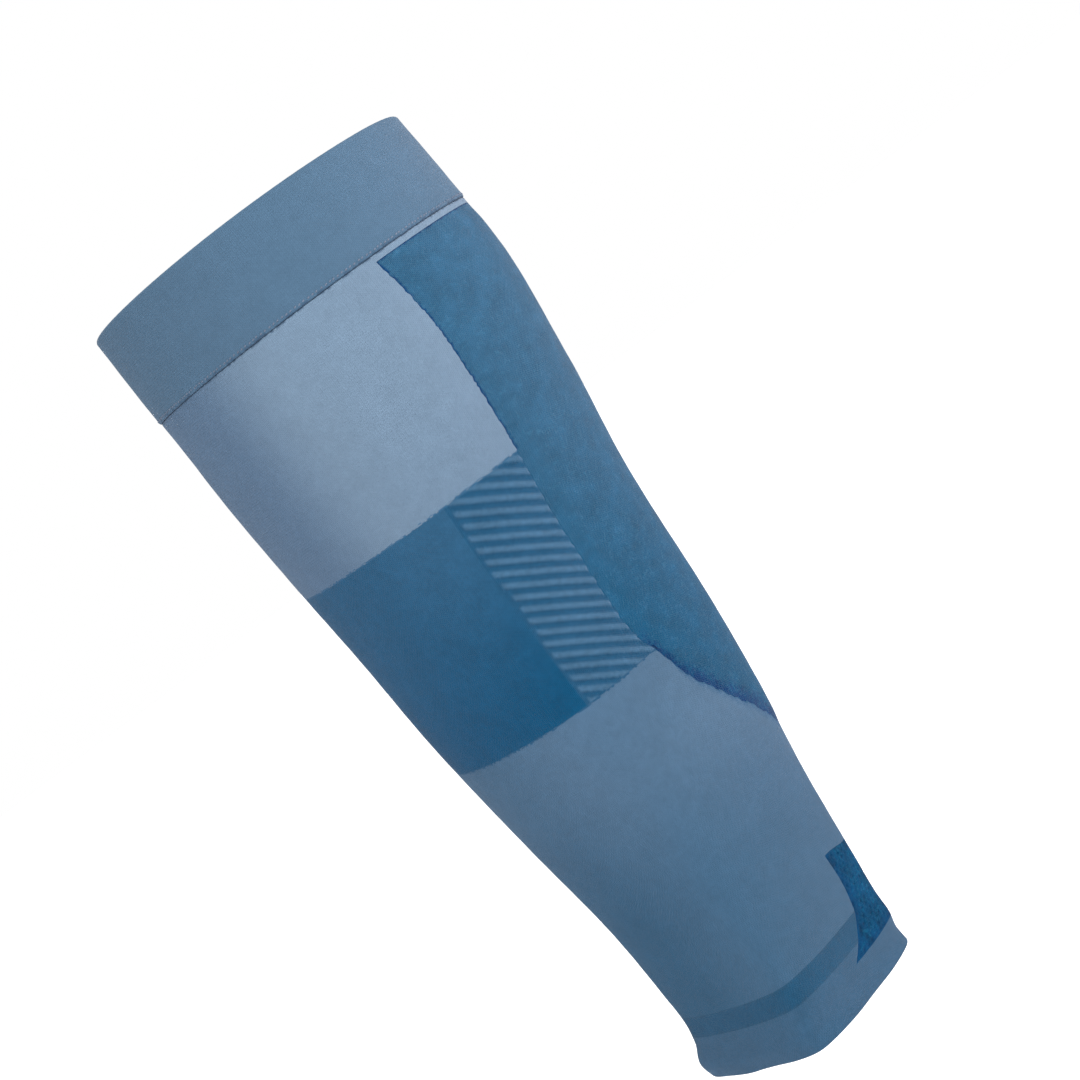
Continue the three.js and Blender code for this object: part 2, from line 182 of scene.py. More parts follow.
@dataclass(frozen=True)
class LegForm:
    """Outside of the leg, on which every knitted zone lies.

    A place on it is its turn, in degrees from the middle of the shin by the +X side, and its
    height in millimetres above the ankle hem.
    """

    levels: Levels = Levels()
    ankle_width: float = 70.8
    ankle_depth: float = 77.2
    calf_width: float = 112.4
    calf_depth: float = 121.0
    fullest: float = 0.836
    softness: float = 0.1
    # share of the height, depth, width, shift to the back, roundness, narrowing at the shin
    sections: Table = (
        (0, 0.0384, 0.106, -0.0299, 1.18, 0.03),
        (0.019, 0.068, 0.106, -0.0377, 1.18, 0.03),
        (0.041, 0.031, 0.038, -0.0207, 1.2, 0.03),
        (0.067, 0, 0, -0.014, 1.23, 0.03),
        (0.099, 0.027, 0.01, -0.01, 1.29, 0.03),
        (0.194, 0.128, 0.135, -0.002, 1.48, 0.03),
        (0.321, 0.374, 0.346, 0.002, 1.62, 0.04),
        (0.448, 0.566, 0.548, 0.002, 1.7, 0.05),
        (0.576, 0.676, 0.721, 0.007, 1.76, 0.06),
        (0.703, 0.872, 0.885, 0.022, 1.8, 0.06),
        (0.836, 1, 0.99, 0.034, 1.84, 0.06),
        (0.925, 0.986, 1, 0.026, 1.86, 0.05),
        (1, 0.95, 0.981, 0.019, 1.88, 0.04),
    )
    # share of the way from the band's foot to the strip, and the calf panel's front edge
    calf_front: Table = (
        (0, 129.3), (0.04, 126), (0.12, 124.6), (0.3, 125.2), (0.6, 125.8), (0.8, 124.9),
        (1, 121.6),
    )
    # share of the way from that corner to the back, and the V hem's drop
    v_shape: Table = ((0, 0), (0.13, 0.26), (0.32, 0.47), (0.56, 0.675), (1, 1))
    v_drop: float = 50.5
    # jogs of the front edge: degrees, their pitch and the length over which they fade
    jog: float = 0.26
    jog_pitch: float = 0.8
    jog_fade: float = 2.0
    # jogs of the V hem: millimetres, their number a degree, and the share where they start
    v_jog: float = 0.78
    v_jogs: float = 0.9
    v_jog_start: float = 0.04
    patch_notch: float = 3.0
    # share of the patch's height, and its side
    patch_shape: Table = ((0, 134.3), (0.17, 145.6), (0.4, 154.4), (0.7, 156), (1, 154.3))
    # depth, number round the leg, lean with the height, and start of each wave of the cloth
    waves: Table = ((0.11, 3, 0.031, 0.4), (0.07, 7, -0.083, 1.9))
    # the same of the two waves whose product is the small bumps
    bumps: Table = ((0.035, 17, 0.21, 0), (1, 5, -0.37, 0.7))

    def skin(self, turn: np.ndarray, height: np.ndarray) -> np.ndarray:
        """Points of the form's outside.

        Args:
            turn: Turns in degrees.
            height: Heights in millimetres, of the same shape.

        Returns:
            Points in millimetres in the row frame, with one more axis of three.
        """
        up = height / self.levels.rim
        depth, width, shift, power, egg = (
            follow(self.sections, up, column) for column in range(1, 6)
        )
        half_width = lerp(self.ankle_width, self.calf_width, width) / 2
        half_depth = lerp(self.ankle_depth, self.calf_depth, depth) / 2
        sine, cosine = np.sin(np.radians(turn)), np.cos(np.radians(turn))
        soft = self.softness
        sides = np.hypot(sine, soft) ** power + np.hypot(cosine, soft) ** power
        corner = np.hypot(1, soft) ** power + soft**power
        out = (corner / sides) ** (1 / power)
        return np.stack(
            [
                half_width * sine * out * (1 - egg * cosine),
                self.calf_depth * shift - half_depth * cosine * out,
                height - self.levels.rim * self.fullest,
            ],
            axis=-1,
        )

    def across(self, turn: np.ndarray, height: np.ndarray) -> np.ndarray:
        """Step round the form over one degree of turn, in millimetres."""
        return self.skin(turn + NEAR, height) - self.skin(turn - NEAR, height)

    def arc(self, turn: np.ndarray, height: np.ndarray) -> np.ndarray:
        """Millimetres round the form for one degree of turn."""
        return np.linalg.norm(self.across(turn, height), axis=-1)

    def upward(self, turn: np.ndarray, height: np.ndarray) -> np.ndarray:
        """Step up the form about a height, held at its two ends."""
        low, high = np.maximum(height - NEAR, 0), np.minimum(height + NEAR, self.levels.rim)
        return self.skin(turn, high) - self.skin(turn, low)

    def outward(self, turn: np.ndarray, height: np.ndarray) -> np.ndarray:
        """Unit vectors square to the form."""
        square = np.cross(self.across(turn, height), self.upward(turn, height))
        return square / np.linalg.norm(square, axis=-1, keepdims=True)

    def stood_off(self, turn: np.ndarray, height: np.ndarray, stand: np.ndarray) -> np.ndarray:
        """Points that stand off the form, square to it.

        Args:
            turn: Turns in degrees.
            height: Heights in millimetres, which may lie past the form's ends.
            stand: Distances from the form in millimetres.

        Returns:
            Points in millimetres.
        """
        inside = np.clip(height, 0, self.levels.rim)
        beyond = np.zeros(np.shape(height) + (3,))
        beyond[..., 2] = height - inside
        lifted = np.asarray(stand)[..., None] * self.outward(turn, inside)
        return self.skin(turn, inside) + beyond + lifted

    def calf_edge(self, height: np.ndarray) -> np.ndarray:
        """Calf panel's front edge, which jogs from course to course.

        Args:
            height: Heights in millimetres.

        Returns:
            Turns of the edge on the +X side.
        """
        rise = height - self.levels.band_foot
        span = self.levels.strip_foot - self.levels.band_foot
        fade = ease(rise / self.jog_fade) * ease((span - rise) / self.jog_fade)
        jog = self.jog * fray(rise / self.jog_pitch, Seed.CALF_EDGE) * fade
        return follow(self.calf_front, rise / span) + jog

    def patch_side(self, height: np.ndarray) -> np.ndarray:
        """Turn of the side of the patch over the tendon."""
        span = self.levels.patch_top - self.levels.patch_foot
        return follow(self.patch_shape, (height - self.levels.patch_foot) / span)

    def patch_head(self, turn: np.ndarray) -> np.ndarray:
        """Height of the patch's upper border, lowest at the middle of the back."""
        side = self.patch_shape[-1][1]
        return self.levels.patch_top - self.patch_notch * ramp_from_shin(turn, side, 180 - side)

    def v_hem(self, turn: np.ndarray) -> np.ndarray:
        """Lower panel's upper border, level in front with a V behind.

        Args:
            turn: Turns in degrees.

        Returns:
            Heights in millimetres.
        """
        corner = self.calf_front[0][1]
        back = (from_shin(turn) - corner) / (180 - corner)
        jog = self.v_jog * fray(turn * self.v_jogs, Seed.V_HEM) * ease(back / self.v_jog_start)
        return self.levels.band_foot - self.v_drop * follow(self.v_shape, back) + jog

    def ripple(self, turn: np.ndarray, height: np.ndarray) -> np.ndarray:
        """Slight waves of the worn fabric, the same for every zone.

        Args:
            turn: Turns in degrees.
            height: Heights in millimetres.

        Returns:
            Depths of the waves in millimetres.
        """
        t = np.radians(turn)
        long, short = (
            [depth * np.sin(count * t + lean * height + at) for depth, count, lean, at in table]
            for table in (self.waves, self.bumps)
        )
        return sum(long) + short[0] * short[1]


@dataclass(frozen=True)
class Gauge:
    """Fineness of the knit: needles round the leg and the height of one course."""

    needles: int = 336
    course: float = 0.8


# Meshes


@dataclass
class Mesh:
    """Grid of places on the leg form, with columns up the leg and rows round it.

    A closed grid repeats its first column, one whole turn on, as its last. Lift and tuck are
    the millimetres by which the outer and the inner face stand off more than the zone's own.
    """

    turn: np.ndarray
    height: np.ndarray
    closed: bool = False
    facts: dict[str, np.ndarray] = field(default_factory=dict)
    lift: Union[float, np.ndarray] = 0.0
    tuck: Union[float, np.ndarray] = 0.0
    cells: np.ndarray = field(init=False)

    def __post_init__(self) -> None:
        """Starts with every cell in use."""
        self.cells = np.ones((self.turn.shape[0] - 1, self.turn.shape[1] - 1), bool)

    def quads(self) -> np.ndarray:
        """Lists the faces of a shell on this grid.

        Returns:
            Column, row and layer of the faces' corners, shape (faces, 4, 3): the outer face in
            layer 0, the inner one in layer 1, and the walls at the borders.
        """
        cells = self.cells
        wide = cells if self.closed else np.pad(cells, ((1, 1), (0, 0)))
        left = np.roll(wide, 1, axis=0) if self.closed else wide[:-2]
        right = np.roll(wide, -1, axis=0) if self.closed else wide[2:]
        tall = np.pad(cells, ((0, 0), (1, 1)))
        parts = (
            (cells, ((0, 0, 0), (1, 0, 0), (1, 1, 0), (0, 1, 0))),
            (cells, ((0, 0, 1), (0, 1, 1), (1, 1, 1), (1, 0, 1))),
            (cells & ~tall[:, :-2], ((1, 0, 0), (0, 0, 0), (0, 0, 1), (1, 0, 1))),
            (cells & ~right, ((1, 1, 0), (1, 0, 0), (1, 0, 1), (1, 1, 1))),
            (cells & ~tall[:, 2:], ((0, 1, 0), (1, 1, 0), (1, 1, 1), (0, 1, 1))),
            (cells & ~left, ((0, 0, 0), (0, 1, 0), (0, 1, 1), (0, 0, 1))),
        )
        faces = []
        for used, shape in parts:
            start = np.pad(np.argwhere(used), ((0, 0), (0, 1)))
            faces.append(start[:, None] + np.array(shape))
        return np.concatenate(faces)


def quad_mesh(name: str, points: np.ndarray, quads: np.ndarray) -> bpy.types.Mesh:
    """Makes a smooth mesh of quads.

    Args:
        name: Name of the mesh.
        points: Its points in millimetres.
        quads: Its faces, each a row of four numbers of points.

    Returns:
        The mesh, in metres.
    """
    mesh = bpy.data.meshes.new(name)
    mesh.vertices.add(len(points))
    mesh.vertices.foreach_set("co", (points * MM).astype(np.float32).reshape(-1))
    mesh.loops.add(quads.size)
    mesh.loops.foreach_set("vertex_index", quads.astype(np.int32).reshape(-1))
    mesh.polygons.add(len(quads))
    mesh.polygons.foreach_set("loop_start", np.arange(0, quads.size, 4, dtype=np.int32))
    mesh.polygons.foreach_set("loop_total", np.full(len(quads), 4, np.int32))
    mesh.update(calc_edges=True)
    mesh.polygons.foreach_set("use_smooth", np.ones(len(quads), bool))
    return mesh


def map_knit(mesh: bpy.types.Mesh, places: np.ndarray) -> None:
    """Adds the map Knit, with the needle and course of each corner of the faces."""
    mesh.uv_layers.new(name="Knit").data.foreach_set("uv", places.astype(np.float32).reshape(-1))


def put(data: bpy.types.ID) -> bpy.types.Object:
    """Puts a mesh, a lamp or a camera in the scene.

    Args:
        data: What is put there.

    Returns:
        The new object, of the same name.
    """
    made = bpy.data.objects.new(data.name, data)
    bpy.context.scene.collection.objects.link(made)
    return made


# Node trees


class Graph:
    """Node tree under construction, with short calls for its nodes and links."""

    def __init__(self, tree: bpy.types.NodeTree) -> None:
        """Starts on a tree, which may be a material's or a group's."""
        self.tree = tree
        self.made = 0

    def find(self, kind: str) -> bpy.types.Node:
        """Node of a type that the tree came with."""
        return next(node for node in self.tree.nodes if node.type == kind)

    def node(self, kind: str, **settings: object) -> bpy.types.Node:
        """Adds a node.

        Args:
            kind: The node's type name.
            settings: Properties to set on it.

        Returns:
            The new node.
        """
        made = self.tree.nodes.new(kind)
        made.location = (self.made % 12 * 190, -(self.made // 12) * 260)
        self.made += 1
        for key, value in settings.items():
            setattr(made, key, value)
        return made

    def feed(self, value: object, socket: bpy.types.NodeSocket) -> None:
        """Links a socket into another, or sets the other to a plain value.

        Args:
            value: Socket or value.
            socket: The input that it goes into.
        """
        if isinstance(value, bpy.types.NodeSocket):
            self.tree.links.new(value, socket)
        else:
            socket.default_value = value

    def fill(self, node: bpy.types.Node, **values: object) -> bpy.types.NodeOutputs:
        """Feeds inputs of a node by their names.

        Args:
            node: The node.
            values: Sockets or values for its inputs, with _ for a blank.

        Returns:
            The node's outputs.
        """
        for label, value in values.items():
            self.feed(value, node.inputs[label.replace("_", " ")])
        return node.outputs

    def math(self, operation: str, *values: Value, clamp: bool = False) -> bpy.types.NodeSocket:
        """Adds a Math node.

        Args:
            operation: Name of the sum.
            values: Its inputs, numbers or sockets.
            clamp: Whether to hold the result from 0 to 1.

        Returns:
            The node's output.
        """
        made = self.node("ShaderNodeMath", operation=operation, use_clamp=clamp)
        for value, socket in zip(values, made.inputs):
            self.feed(value, socket)
        return made.outputs[0]

    def ranged(self, value: Value, low: float, high: float, to_low: float = 0.0,
               to_high: float = 1.0) -> bpy.types.NodeSocket:
        """Adds a smooth Map Range node.

        Args:
            value: What is mapped.
            low: Value that gives to_low.
            high: Value that gives to_high.
            to_low: Result at low.
            to_high: Result at high.

        Returns:
            The node's output.
        """
        made = self.node("ShaderNodeMapRange", interpolation_type="SMOOTHSTEP")
        for socket, given in zip(made.inputs, (value, low, high, to_low, to_high)):
            self.feed(given, socket)
        return made.outputs["Result"]

    def blend(self, factor: Value, first: object, second: object) -> bpy.types.NodeSocket:
        """Mixes two colours.

        Args:
            factor: 0 for the first, 1 for the second.
            first: Colour or socket.
            second: Colour or socket.

        Returns:
            The mixed colour.
        """
        made = self.node("ShaderNodeMix", data_type="RGBA")
        colours = [x for x in made.inputs if x.type == "RGBA"]
        for value, socket in zip((factor, first, second), (made.inputs[0], *colours)):
            self.feed(value, socket)
        return next(x for x in made.outputs if x.type == "RGBA")

    def scaled(self, colour: object, factor: Value) -> bpy.types.NodeSocket:
        """Colour made lighter or darker by a factor."""
        made = self.node("ShaderNodeVectorMath", operation="SCALE")
        return self.fill(made, Vector=colour, Scale=factor)[0]

    def noise(self, place: bpy.types.NodeSocket, scale: float, detail: float,
              distortion: float) -> bpy.types.NodeSocket:
        """Noise value at a place, from 0 to 1."""
        made = self.node("ShaderNodeTexNoise")
        return self.fill(made, Vector=place, Scale=scale, Detail=detail, Distortion=distortion)[0]

    def fact(self, name: str) -> bpy.types.NodeSocket:
        """Value that the mesh carries under a name."""
        return self.node("ShaderNodeAttribute", attribute_name=name).outputs["Fac"]


class Effect:
    """Node group with named inputs and outputs, built once and placed in many materials."""

    name = ""
    inputs: tuple[tuple[str, str, float], ...] = ()
    outputs: tuple[tuple[str, str], ...] = ()

    def __init__(self) -> None:
        """Builds the group and wires it."""
        self.tree = bpy.data.node_groups.new(self.name, "ShaderNodeTree")
        for label, kind, value in self.inputs:
            socket = self.tree.interface.new_socket(name=label, in_out="INPUT", socket_type=kind)
            if kind == "NodeSocketFloat":
                socket.default_value = value
        for label, kind in self.outputs:
            self.tree.interface.new_socket(name=label, in_out="OUTPUT", socket_type=kind)
        graph = Graph(self.tree)
        self.given = graph.node("NodeGroupInput").outputs
        self.result = graph.node("NodeGroupOutput").inputs
        self.wire(graph)

    def wire(self, graph: Graph) -> None:
        """Wires the group's inputs to its outputs."""
        raise NotImplementedError

    def place(self, graph: Graph, **values: object) -> bpy.types.NodeOutputs:
        """Places the group in a tree, feeds its inputs by name and gives its outputs."""
        return graph.fill(graph.node("ShaderNodeGroup", node_tree=self.tree), **values)


class KnitLoops(Effect):
    """Rows of knitted loops, each a pair of legs that stand like a V."""

    name = "Knit loops"
    inputs = (("Needles and courses", "NodeSocketVector", 0), ("Fullness", "NodeSocketFloat", 0.17))
    outputs = (("Height", "NodeSocketFloat"), ("Stitch", "NodeSocketFloat"))
    # how far a leg of the V leans out over one course, and stands off the middle at its foot
    lean = 0.26
    foot = 0.1

    def wire(self, graph: Graph) -> None:
        """Wires height and a value of its own for each stitch.

        Args:
            graph: The group's tree.
        """
        parts = graph.node("ShaderNodeSeparateXYZ")
        graph.feed(self.given["Needles and courses"], parts.inputs[0])
        needle, course = parts.outputs[0], parts.outputs[1]
        side = graph.math("ABSOLUTE", graph.math("SUBTRACT", graph.math("FRACT", needle), 0.5))
        centre = graph.math("MULTIPLY_ADD", graph.math("FRACT", course), self.lean, self.foot)
        off = graph.math("DIVIDE", graph.math("SUBTRACT", side, centre), self.given["Fullness"])
        round_leg = graph.math("SUBTRACT", 1.0, graph.math("MULTIPLY", off, off), clamp=True)
        graph.feed(graph.math("SQRT", round_leg), self.result["Height"])
        cell = graph.node("ShaderNodeCombineXYZ")
        graph.feed(graph.math("FLOOR", needle), cell.inputs[0])
        graph.feed(graph.math("FLOOR", course), cell.inputs[1])
        white = graph.node("ShaderNodeTexWhiteNoise", noise_dimensions="2D")
        own = graph.fill(white, Vector=cell.outputs[0])["Value"]
        graph.feed(own, self.result["Stitch"])


class Marl(Effect):
    """Two yarns twisted together: short curly flecks that lie along the courses."""

    name = "Marled yarn"
    inputs = (("Needles and courses", "NodeSocketVector", 0), ("Cover", "NodeSocketFloat", 0.5))
    outputs = (("Fleck", "NodeSocketFloat"), ("Tone", "NodeSocketFloat"))
    # scale, detail and distortion of the flecks and of the slower tone
    curly = (0.45, 1.6, 2.0)
    slow = (0.13, 3.0, 0.3)
    # noise at which flecks start without cover, how much cover lowers it, and their sharpness
    start = 0.78
    lowered = 0.3
    sharpness = 7.0

    def wire(self, graph: Graph) -> None:
        """Wires the flecks and a slower tone under them.

        Args:
            graph: The group's tree.
        """
        place = self.given["Needles and courses"]
        lowered = graph.math("MULTIPLY", self.given["Cover"], self.lowered)
        start = graph.math("SUBTRACT", self.start, lowered)
        over = graph.math("SUBTRACT", graph.noise(place, *self.curly), start)
        graph.feed(graph.math("MULTIPLY", over, self.sharpness, clamp=True), self.result["Fleck"])
        graph.feed(graph.noise(place, *self.slow), self.result["Tone"])


class Hand(Effect):
    """Soft unevenness of worn fabric, several stitches across."""

    name = "Soft unevenness"
    inputs = (("Reach", "NodeSocketFloat", 0.1),)
    outputs = (("Lightness", "NodeSocketFloat"),)
    # scale, detail and distortion of the wide and of the close unevenness
    wide = (55.0, 2.0, 0.2)
    close = (260.0, 3.0, 0.4)

    def wire(self, graph: Graph) -> None:
        """Wires a factor about 1.

        Args:
            graph: The group's tree.
        """
        place = graph.node("ShaderNodeTexCoord").outputs["Object"]
        both = graph.math("ADD", graph.noise(place, *self.wide), graph.noise(place, *self.close))
        swing = graph.math("MULTIPLY", graph.math("SUBTRACT", both, 1.0), self.given["Reach"])
        graph.feed(graph.math("ADD", swing, 1.0), self.result["Lightness"])


# Finishes


def linear(value: int) -> float:
    """Linear light of one channel of 255."""
    share = value / 255
    return share / 12.92 if share <= 0.04045 else ((share + 0.055) / 1.055) ** 2.4


def yarn(colour: Yarn) -> tuple[float, float, float, float]:
    """Yarn colour from its daylight red, green and blue of 255."""
    return (*(linear(value) for value in colour), 1.0)


@dataclass(frozen=True)
class KnitFinish:
    """Finish of a knitted zone: its yarns, and how even and how deep the knit is."""

    name: str
    body: Yarn
    fleck: Yarn
    cover: float = 0.3
    fleck_share: float = 0.3
    unevenness: float = 0.2
    stitch_swing: float = 0.1
    # painted shade between the loops and painted light on their tops, from the loops' height
    loop_shade: float = 0.22
    relief: float = 0.00022
    marling: float = 0.1
    sheen: float = 0.12
    # colours where the knit is tight, partly painted light that grows up the leg and round from the
    # shin; on its relief, lighter on the ribs' crests and painted shade in the patch's openings;
    # past a border, the next zone's yarn; and painted shade beside one
    taut_and_painted_light: Optional[Yarn] = None
    crest: Optional[Yarn] = None
    meet: Optional[Yarn] = None
    edge: Optional[Yarn] = None
    edge_reach: float = 1.5
    edge_share: float = 0.8


class Workshop:
    """Shared effects, built once, and the materials made from them."""

    # how borders jog from stitch to stitch, and where the next zone's colour past one and the
    # painted shade beside one start and end
    meet_jog = -0.8
    meet_span = (-0.1, 0.15)
    meet_share = 0.85
    edge_jog = 0.9
    edge_start = 0.35
    edge_fade = 0.7
    # height of the loops, and value of the noises, that keep the yarn's own tone; lower on a loop
    # is painted shade, higher is painted light
    even_height = 0.75
    even = 0.5
    # part of the flecks in the relief
    fuzz = 0.5
    roughness = 0.81
    roughness_swing = 0.1
    sheen_roughness = 0.28
    sheen_tint = (1.0, 0.9, 0.92, 1.0)
    specular = 0.06

    def __init__(self) -> None:
        """Builds the shared node groups."""
        self.loops = KnitLoops()
        self.marl = Marl()
        self.hand = Hand()

    def knit(self, finish: KnitFinish) -> bpy.types.Material:
        """Makes the material of a knitted zone.

        Args:
            finish: The zone's finish.

        Returns:
            The material.
        """
        material = bpy.data.materials.new(finish.name)
        material.use_nodes = True
        graph = Graph(material.node_tree)
        shader = graph.find("BSDF_PRINCIPLED")
        place = graph.node("ShaderNodeUVMap", uv_map="Knit").outputs[0]
        loops = self.loops.place(graph, Needles_and_courses=place)
        marl = self.marl.place(graph, Needles_and_courses=place, Cover=finish.cover)
        hand = self.hand.place(graph, Reach=finish.unevenness)
        colour: object = yarn(finish.body)
        # over the body: lighter where the knit is tight, partly painted light, then the relief's
        # colour, which in the patch is painted shade in its openings
        for fact, added in (("taut_and_painted_light", finish.taut_and_painted_light), ("relief", finish.crest)):
            if added:
                colour = graph.blend(graph.fact(fact), colour, yarn(added))
        share = graph.math("MULTIPLY", marl["Fleck"], finish.fleck_share)
        colour = graph.blend(share, colour, yarn(finish.fleck))
        stitch = loops["Stitch"]
        if finish.meet:
            crossed = graph.math("MULTIPLY_ADD", stitch, self.meet_jog, graph.fact("meet"))
            past = graph.ranged(crossed, *self.meet_span, self.meet_share, 0.0)
            colour = graph.blend(past, colour, yarn(finish.meet))
        # painted shade beside the zone's borders, ragged from stitch to stitch
        if finish.edge:
            ragged = graph.math("MULTIPLY_ADD", stitch, self.edge_jog, graph.fact("edge"))
            far = finish.edge_reach + self.edge_fade
            beside = graph.ranged(ragged, self.edge_start, far, finish.edge_share, 0.0)
            colour = graph.blend(beside, colour, yarn(finish.edge))
        light = hand["Lightness"]
        # the stitch's and the marl's own tone, and painted light and shade from the loops' height:
        # lighter on their tops, darker between them
        for value, even, swing in (
            (stitch, self.even, finish.stitch_swing), (marl["Tone"], self.even, finish.marling),
            (loops["Height"], self.even_height, finish.loop_shade),
        ):
            light = graph.math("MULTIPLY_ADD", graph.math("SUBTRACT", value, even), swing, light)
        rough = graph.math("MULTIPLY_ADD", marl["Tone"], self.roughness_swing, self.roughness)
        flecks = graph.math("MULTIPLY", marl["Fleck"], self.fuzz)
        bump = graph.node("ShaderNodeBump")
        graph.fill(
            bump, Strength=1.0, Distance=finish.relief,
            Height=graph.math("ADD", loops["Height"], flecks),
        )
        graph.fill(
            shader, Base_Color=graph.scaled(colour, light), Roughness=rough,
            Normal=bump.outputs[0], Specular_IOR_Level=self.specular,
            Sheen_Weight=finish.sheen, Sheen_Roughness=self.sheen_roughness,
            Sheen_Tint=self.sheen_tint,
        )
        return material

    def dressed(self, mesh: bpy.types.Mesh, finish: KnitFinish) -> bpy.types.Object:
        """Makes a piece of the sleeve from its mesh.

        Args:
            mesh: The piece's mesh.
            finish: Its finish.

        Returns:
            The piece.
        """
        mesh.materials.append(self.knit(finish))
        piece = put(mesh)
        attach(piece, "root")
        return piece


# Knitted zones


@dataclass
class Zone:
    """Knitted zone of the sleeve: a stretch of cloth on the leg form that stands for its node."""

    form: LegForm
    gauge: Gauge
    node: str = ""
    slot: str = ""
    finish: Optional[KnitFinish] = None
    wall: float = 1.4
    rise: float = 0.0
    pitch: float = 1.05
    worn_stretch: float = 1.2
    off_the_leg: tuple[float, float, float] = (0.0, 0.0, 0.0)

    @property
    def name(self) -> str:
        """Name of the zone's piece."""
        return f"{self.node}_knit"

    @property
    def levels(self) -> Levels:
        """Heights of the borders between the zones."""
        return self.form.levels

    def grid(self) -> Mesh:
        """Places of the zone's cloth."""
        raise NotImplementedError

    def build(self, workshop: Workshop) -> bpy.types.Object:
        """Makes the zone's mesh, dresses it and puts it in the place of its node.

        Args:
            workshop: Maker of the materials.

        Returns:
            The dressed piece.
        """
        grid = self.grid()
        self.off_the_leg = self.laid_flat(grid)
        piece = workshop.dressed(self.shell(grid), self.finish)
        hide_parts(self.node)
        return piece

    def shell(self, grid: Mesh) -> bpy.types.Mesh:
        """Makes the closed mesh of the cloth.

        Args:
            grid: Places of the zone's cloth.

        Returns:
            The mesh, with the map Knit and the grid's facts as attributes.
        """
        rows = grid.turn.shape[1]
        around = grid.turn.shape[0] - int(grid.closed)
        wave = self.form.ripple(grid.turn, grid.height)
        layers = [
            self.form.stood_off(grid.turn, grid.height, stand + wave)[:around].reshape(-1, 3)
            for stand in (self.rise + grid.lift, self.rise - self.wall + grid.tuck)
        ]
        column, row, layer = np.moveaxis(grid.quads(), -1, 0)
        corner = layer * around * rows + (column % around) * rows + row
        used, index = np.unique(corner, return_inverse=True)
        mesh = quad_mesh(self.name, np.concatenate(layers)[used], index.reshape(-1, 4))
        needles = grid.turn[column, row] / 360 * self.gauge.needles
        map_knit(mesh, np.stack([needles, grid.height[column, row] / self.gauge.course], -1))
        for fact, values in grid.facts.items():
            both = np.concatenate([values[:around].reshape(-1)] * 2)[used]
            attribute = mesh.attributes.new(fact, "FLOAT", "POINT")
            attribute.data.foreach_set("value", both.astype(np.float32))
        mesh.set_sharp_from_angle(angle=math.radians(SHARP))
        mesh.validate()
        return mesh

    def laid_flat(self, grid: Mesh) -> tuple[float, float, float]:
        """Size of the zone off the leg, where it is narrower by the stretch it has when worn.

        Args:
            grid: Places of the zone's cloth on the leg.

        Returns:
            Width and length in metres, and area in square metres.
        """
        turn, height = grid.turn, grid.height
        wide = np.diff(turn, axis=0) * self.form.arc(turn[:-1], height[:-1]) / self.worn_stretch
        wide = wide[:, :-1] * grid.cells
        area = (wide * np.diff(height, axis=1)[:-1]).sum()
        length = height.max() - height.min()
        return wide.sum(axis=0).max() * MM, length * MM, area * MM * MM

    def declare(self, piece: bpy.types.Object, going_with: tuple[bpy.types.Object, ...]) -> None:
        """Args:
            piece: The zone's piece, not used.
            going_with: Pieces on it, not used.
        """
        width, length, area = self.off_the_leg
        area = min(area, width * length)

    def between(self, left: Border, right: Border, foot: Border, top: Border,
                across: np.ndarray, up: np.ndarray) -> Mesh:
        """Grid between four borders.

        Args:
            left: Turn of the first upright border at a height.
            right: Turn of the last upright border at a height.
            foot: Height of the lower border at a turn.
            top: Height of the upper border at a turn.
            across: Shares of the way from left to right, one for each column.
            up: Shares of the way from foot to top, one for each row.

        Returns:
            The grid.
        """
        share, rise = np.meshgrid(across, up, indexing="ij")
        height = np.full_like(share, self.levels.band_foot)
        turn = lerp(left(height), right(height), share)
        for _ in range(PASSES):
            height = lerp(foot(turn), top(turn), rise)
            turn = lerp(left(height), right(height), share)
        return Mesh(turn, lerp(foot(turn), top(turn), rise))

    def round_leg(self, edge: np.ndarray, front: np.ndarray, back: np.ndarray,
                  heights: np.ndarray) -> Mesh:
        """Closed grid round the leg, with a column along the edge on each side.

        Args:
            edge: Turn of the +X side's edge in each row.
            front: Shares of the way round the front, one for each column.
            back: Shares of the way round the back.
            heights: Height of each row.

        Returns:
            The grid.
        """
        turn = np.concatenate([
            lerp(-edge, edge, front[:, None]), lerp(edge, 360 - edge, back[1:, None]),
        ])
        return Mesh(turn, np.broadcast_to(heights, turn.shape).copy(), closed=True)

    def level(self, height: float) -> Border:
        """Border that stays at one height, or at one turn."""
        return lambda along: np.full_like(along, height)

    def columns(self, degrees: float, height: float) -> np.ndarray:
        """Shares of a stretch of turn with one line for each pitch at a height."""
        arc = self.form.arc(GIRTH, np.full_like(GIRTH, height)).mean()
        return steps(arc * degrees, self.pitch)

    def rows(self, low: float, high: float) -> np.ndarray:
        """Shares of the way between two heights, one for each course."""
        return steps(high - low, self.gauge.course)

    def courses(self, low: float, high: float) -> np.ndarray:
        """Heights of the courses between two heights."""
        return lerp(low, high, self.rows(low, high))


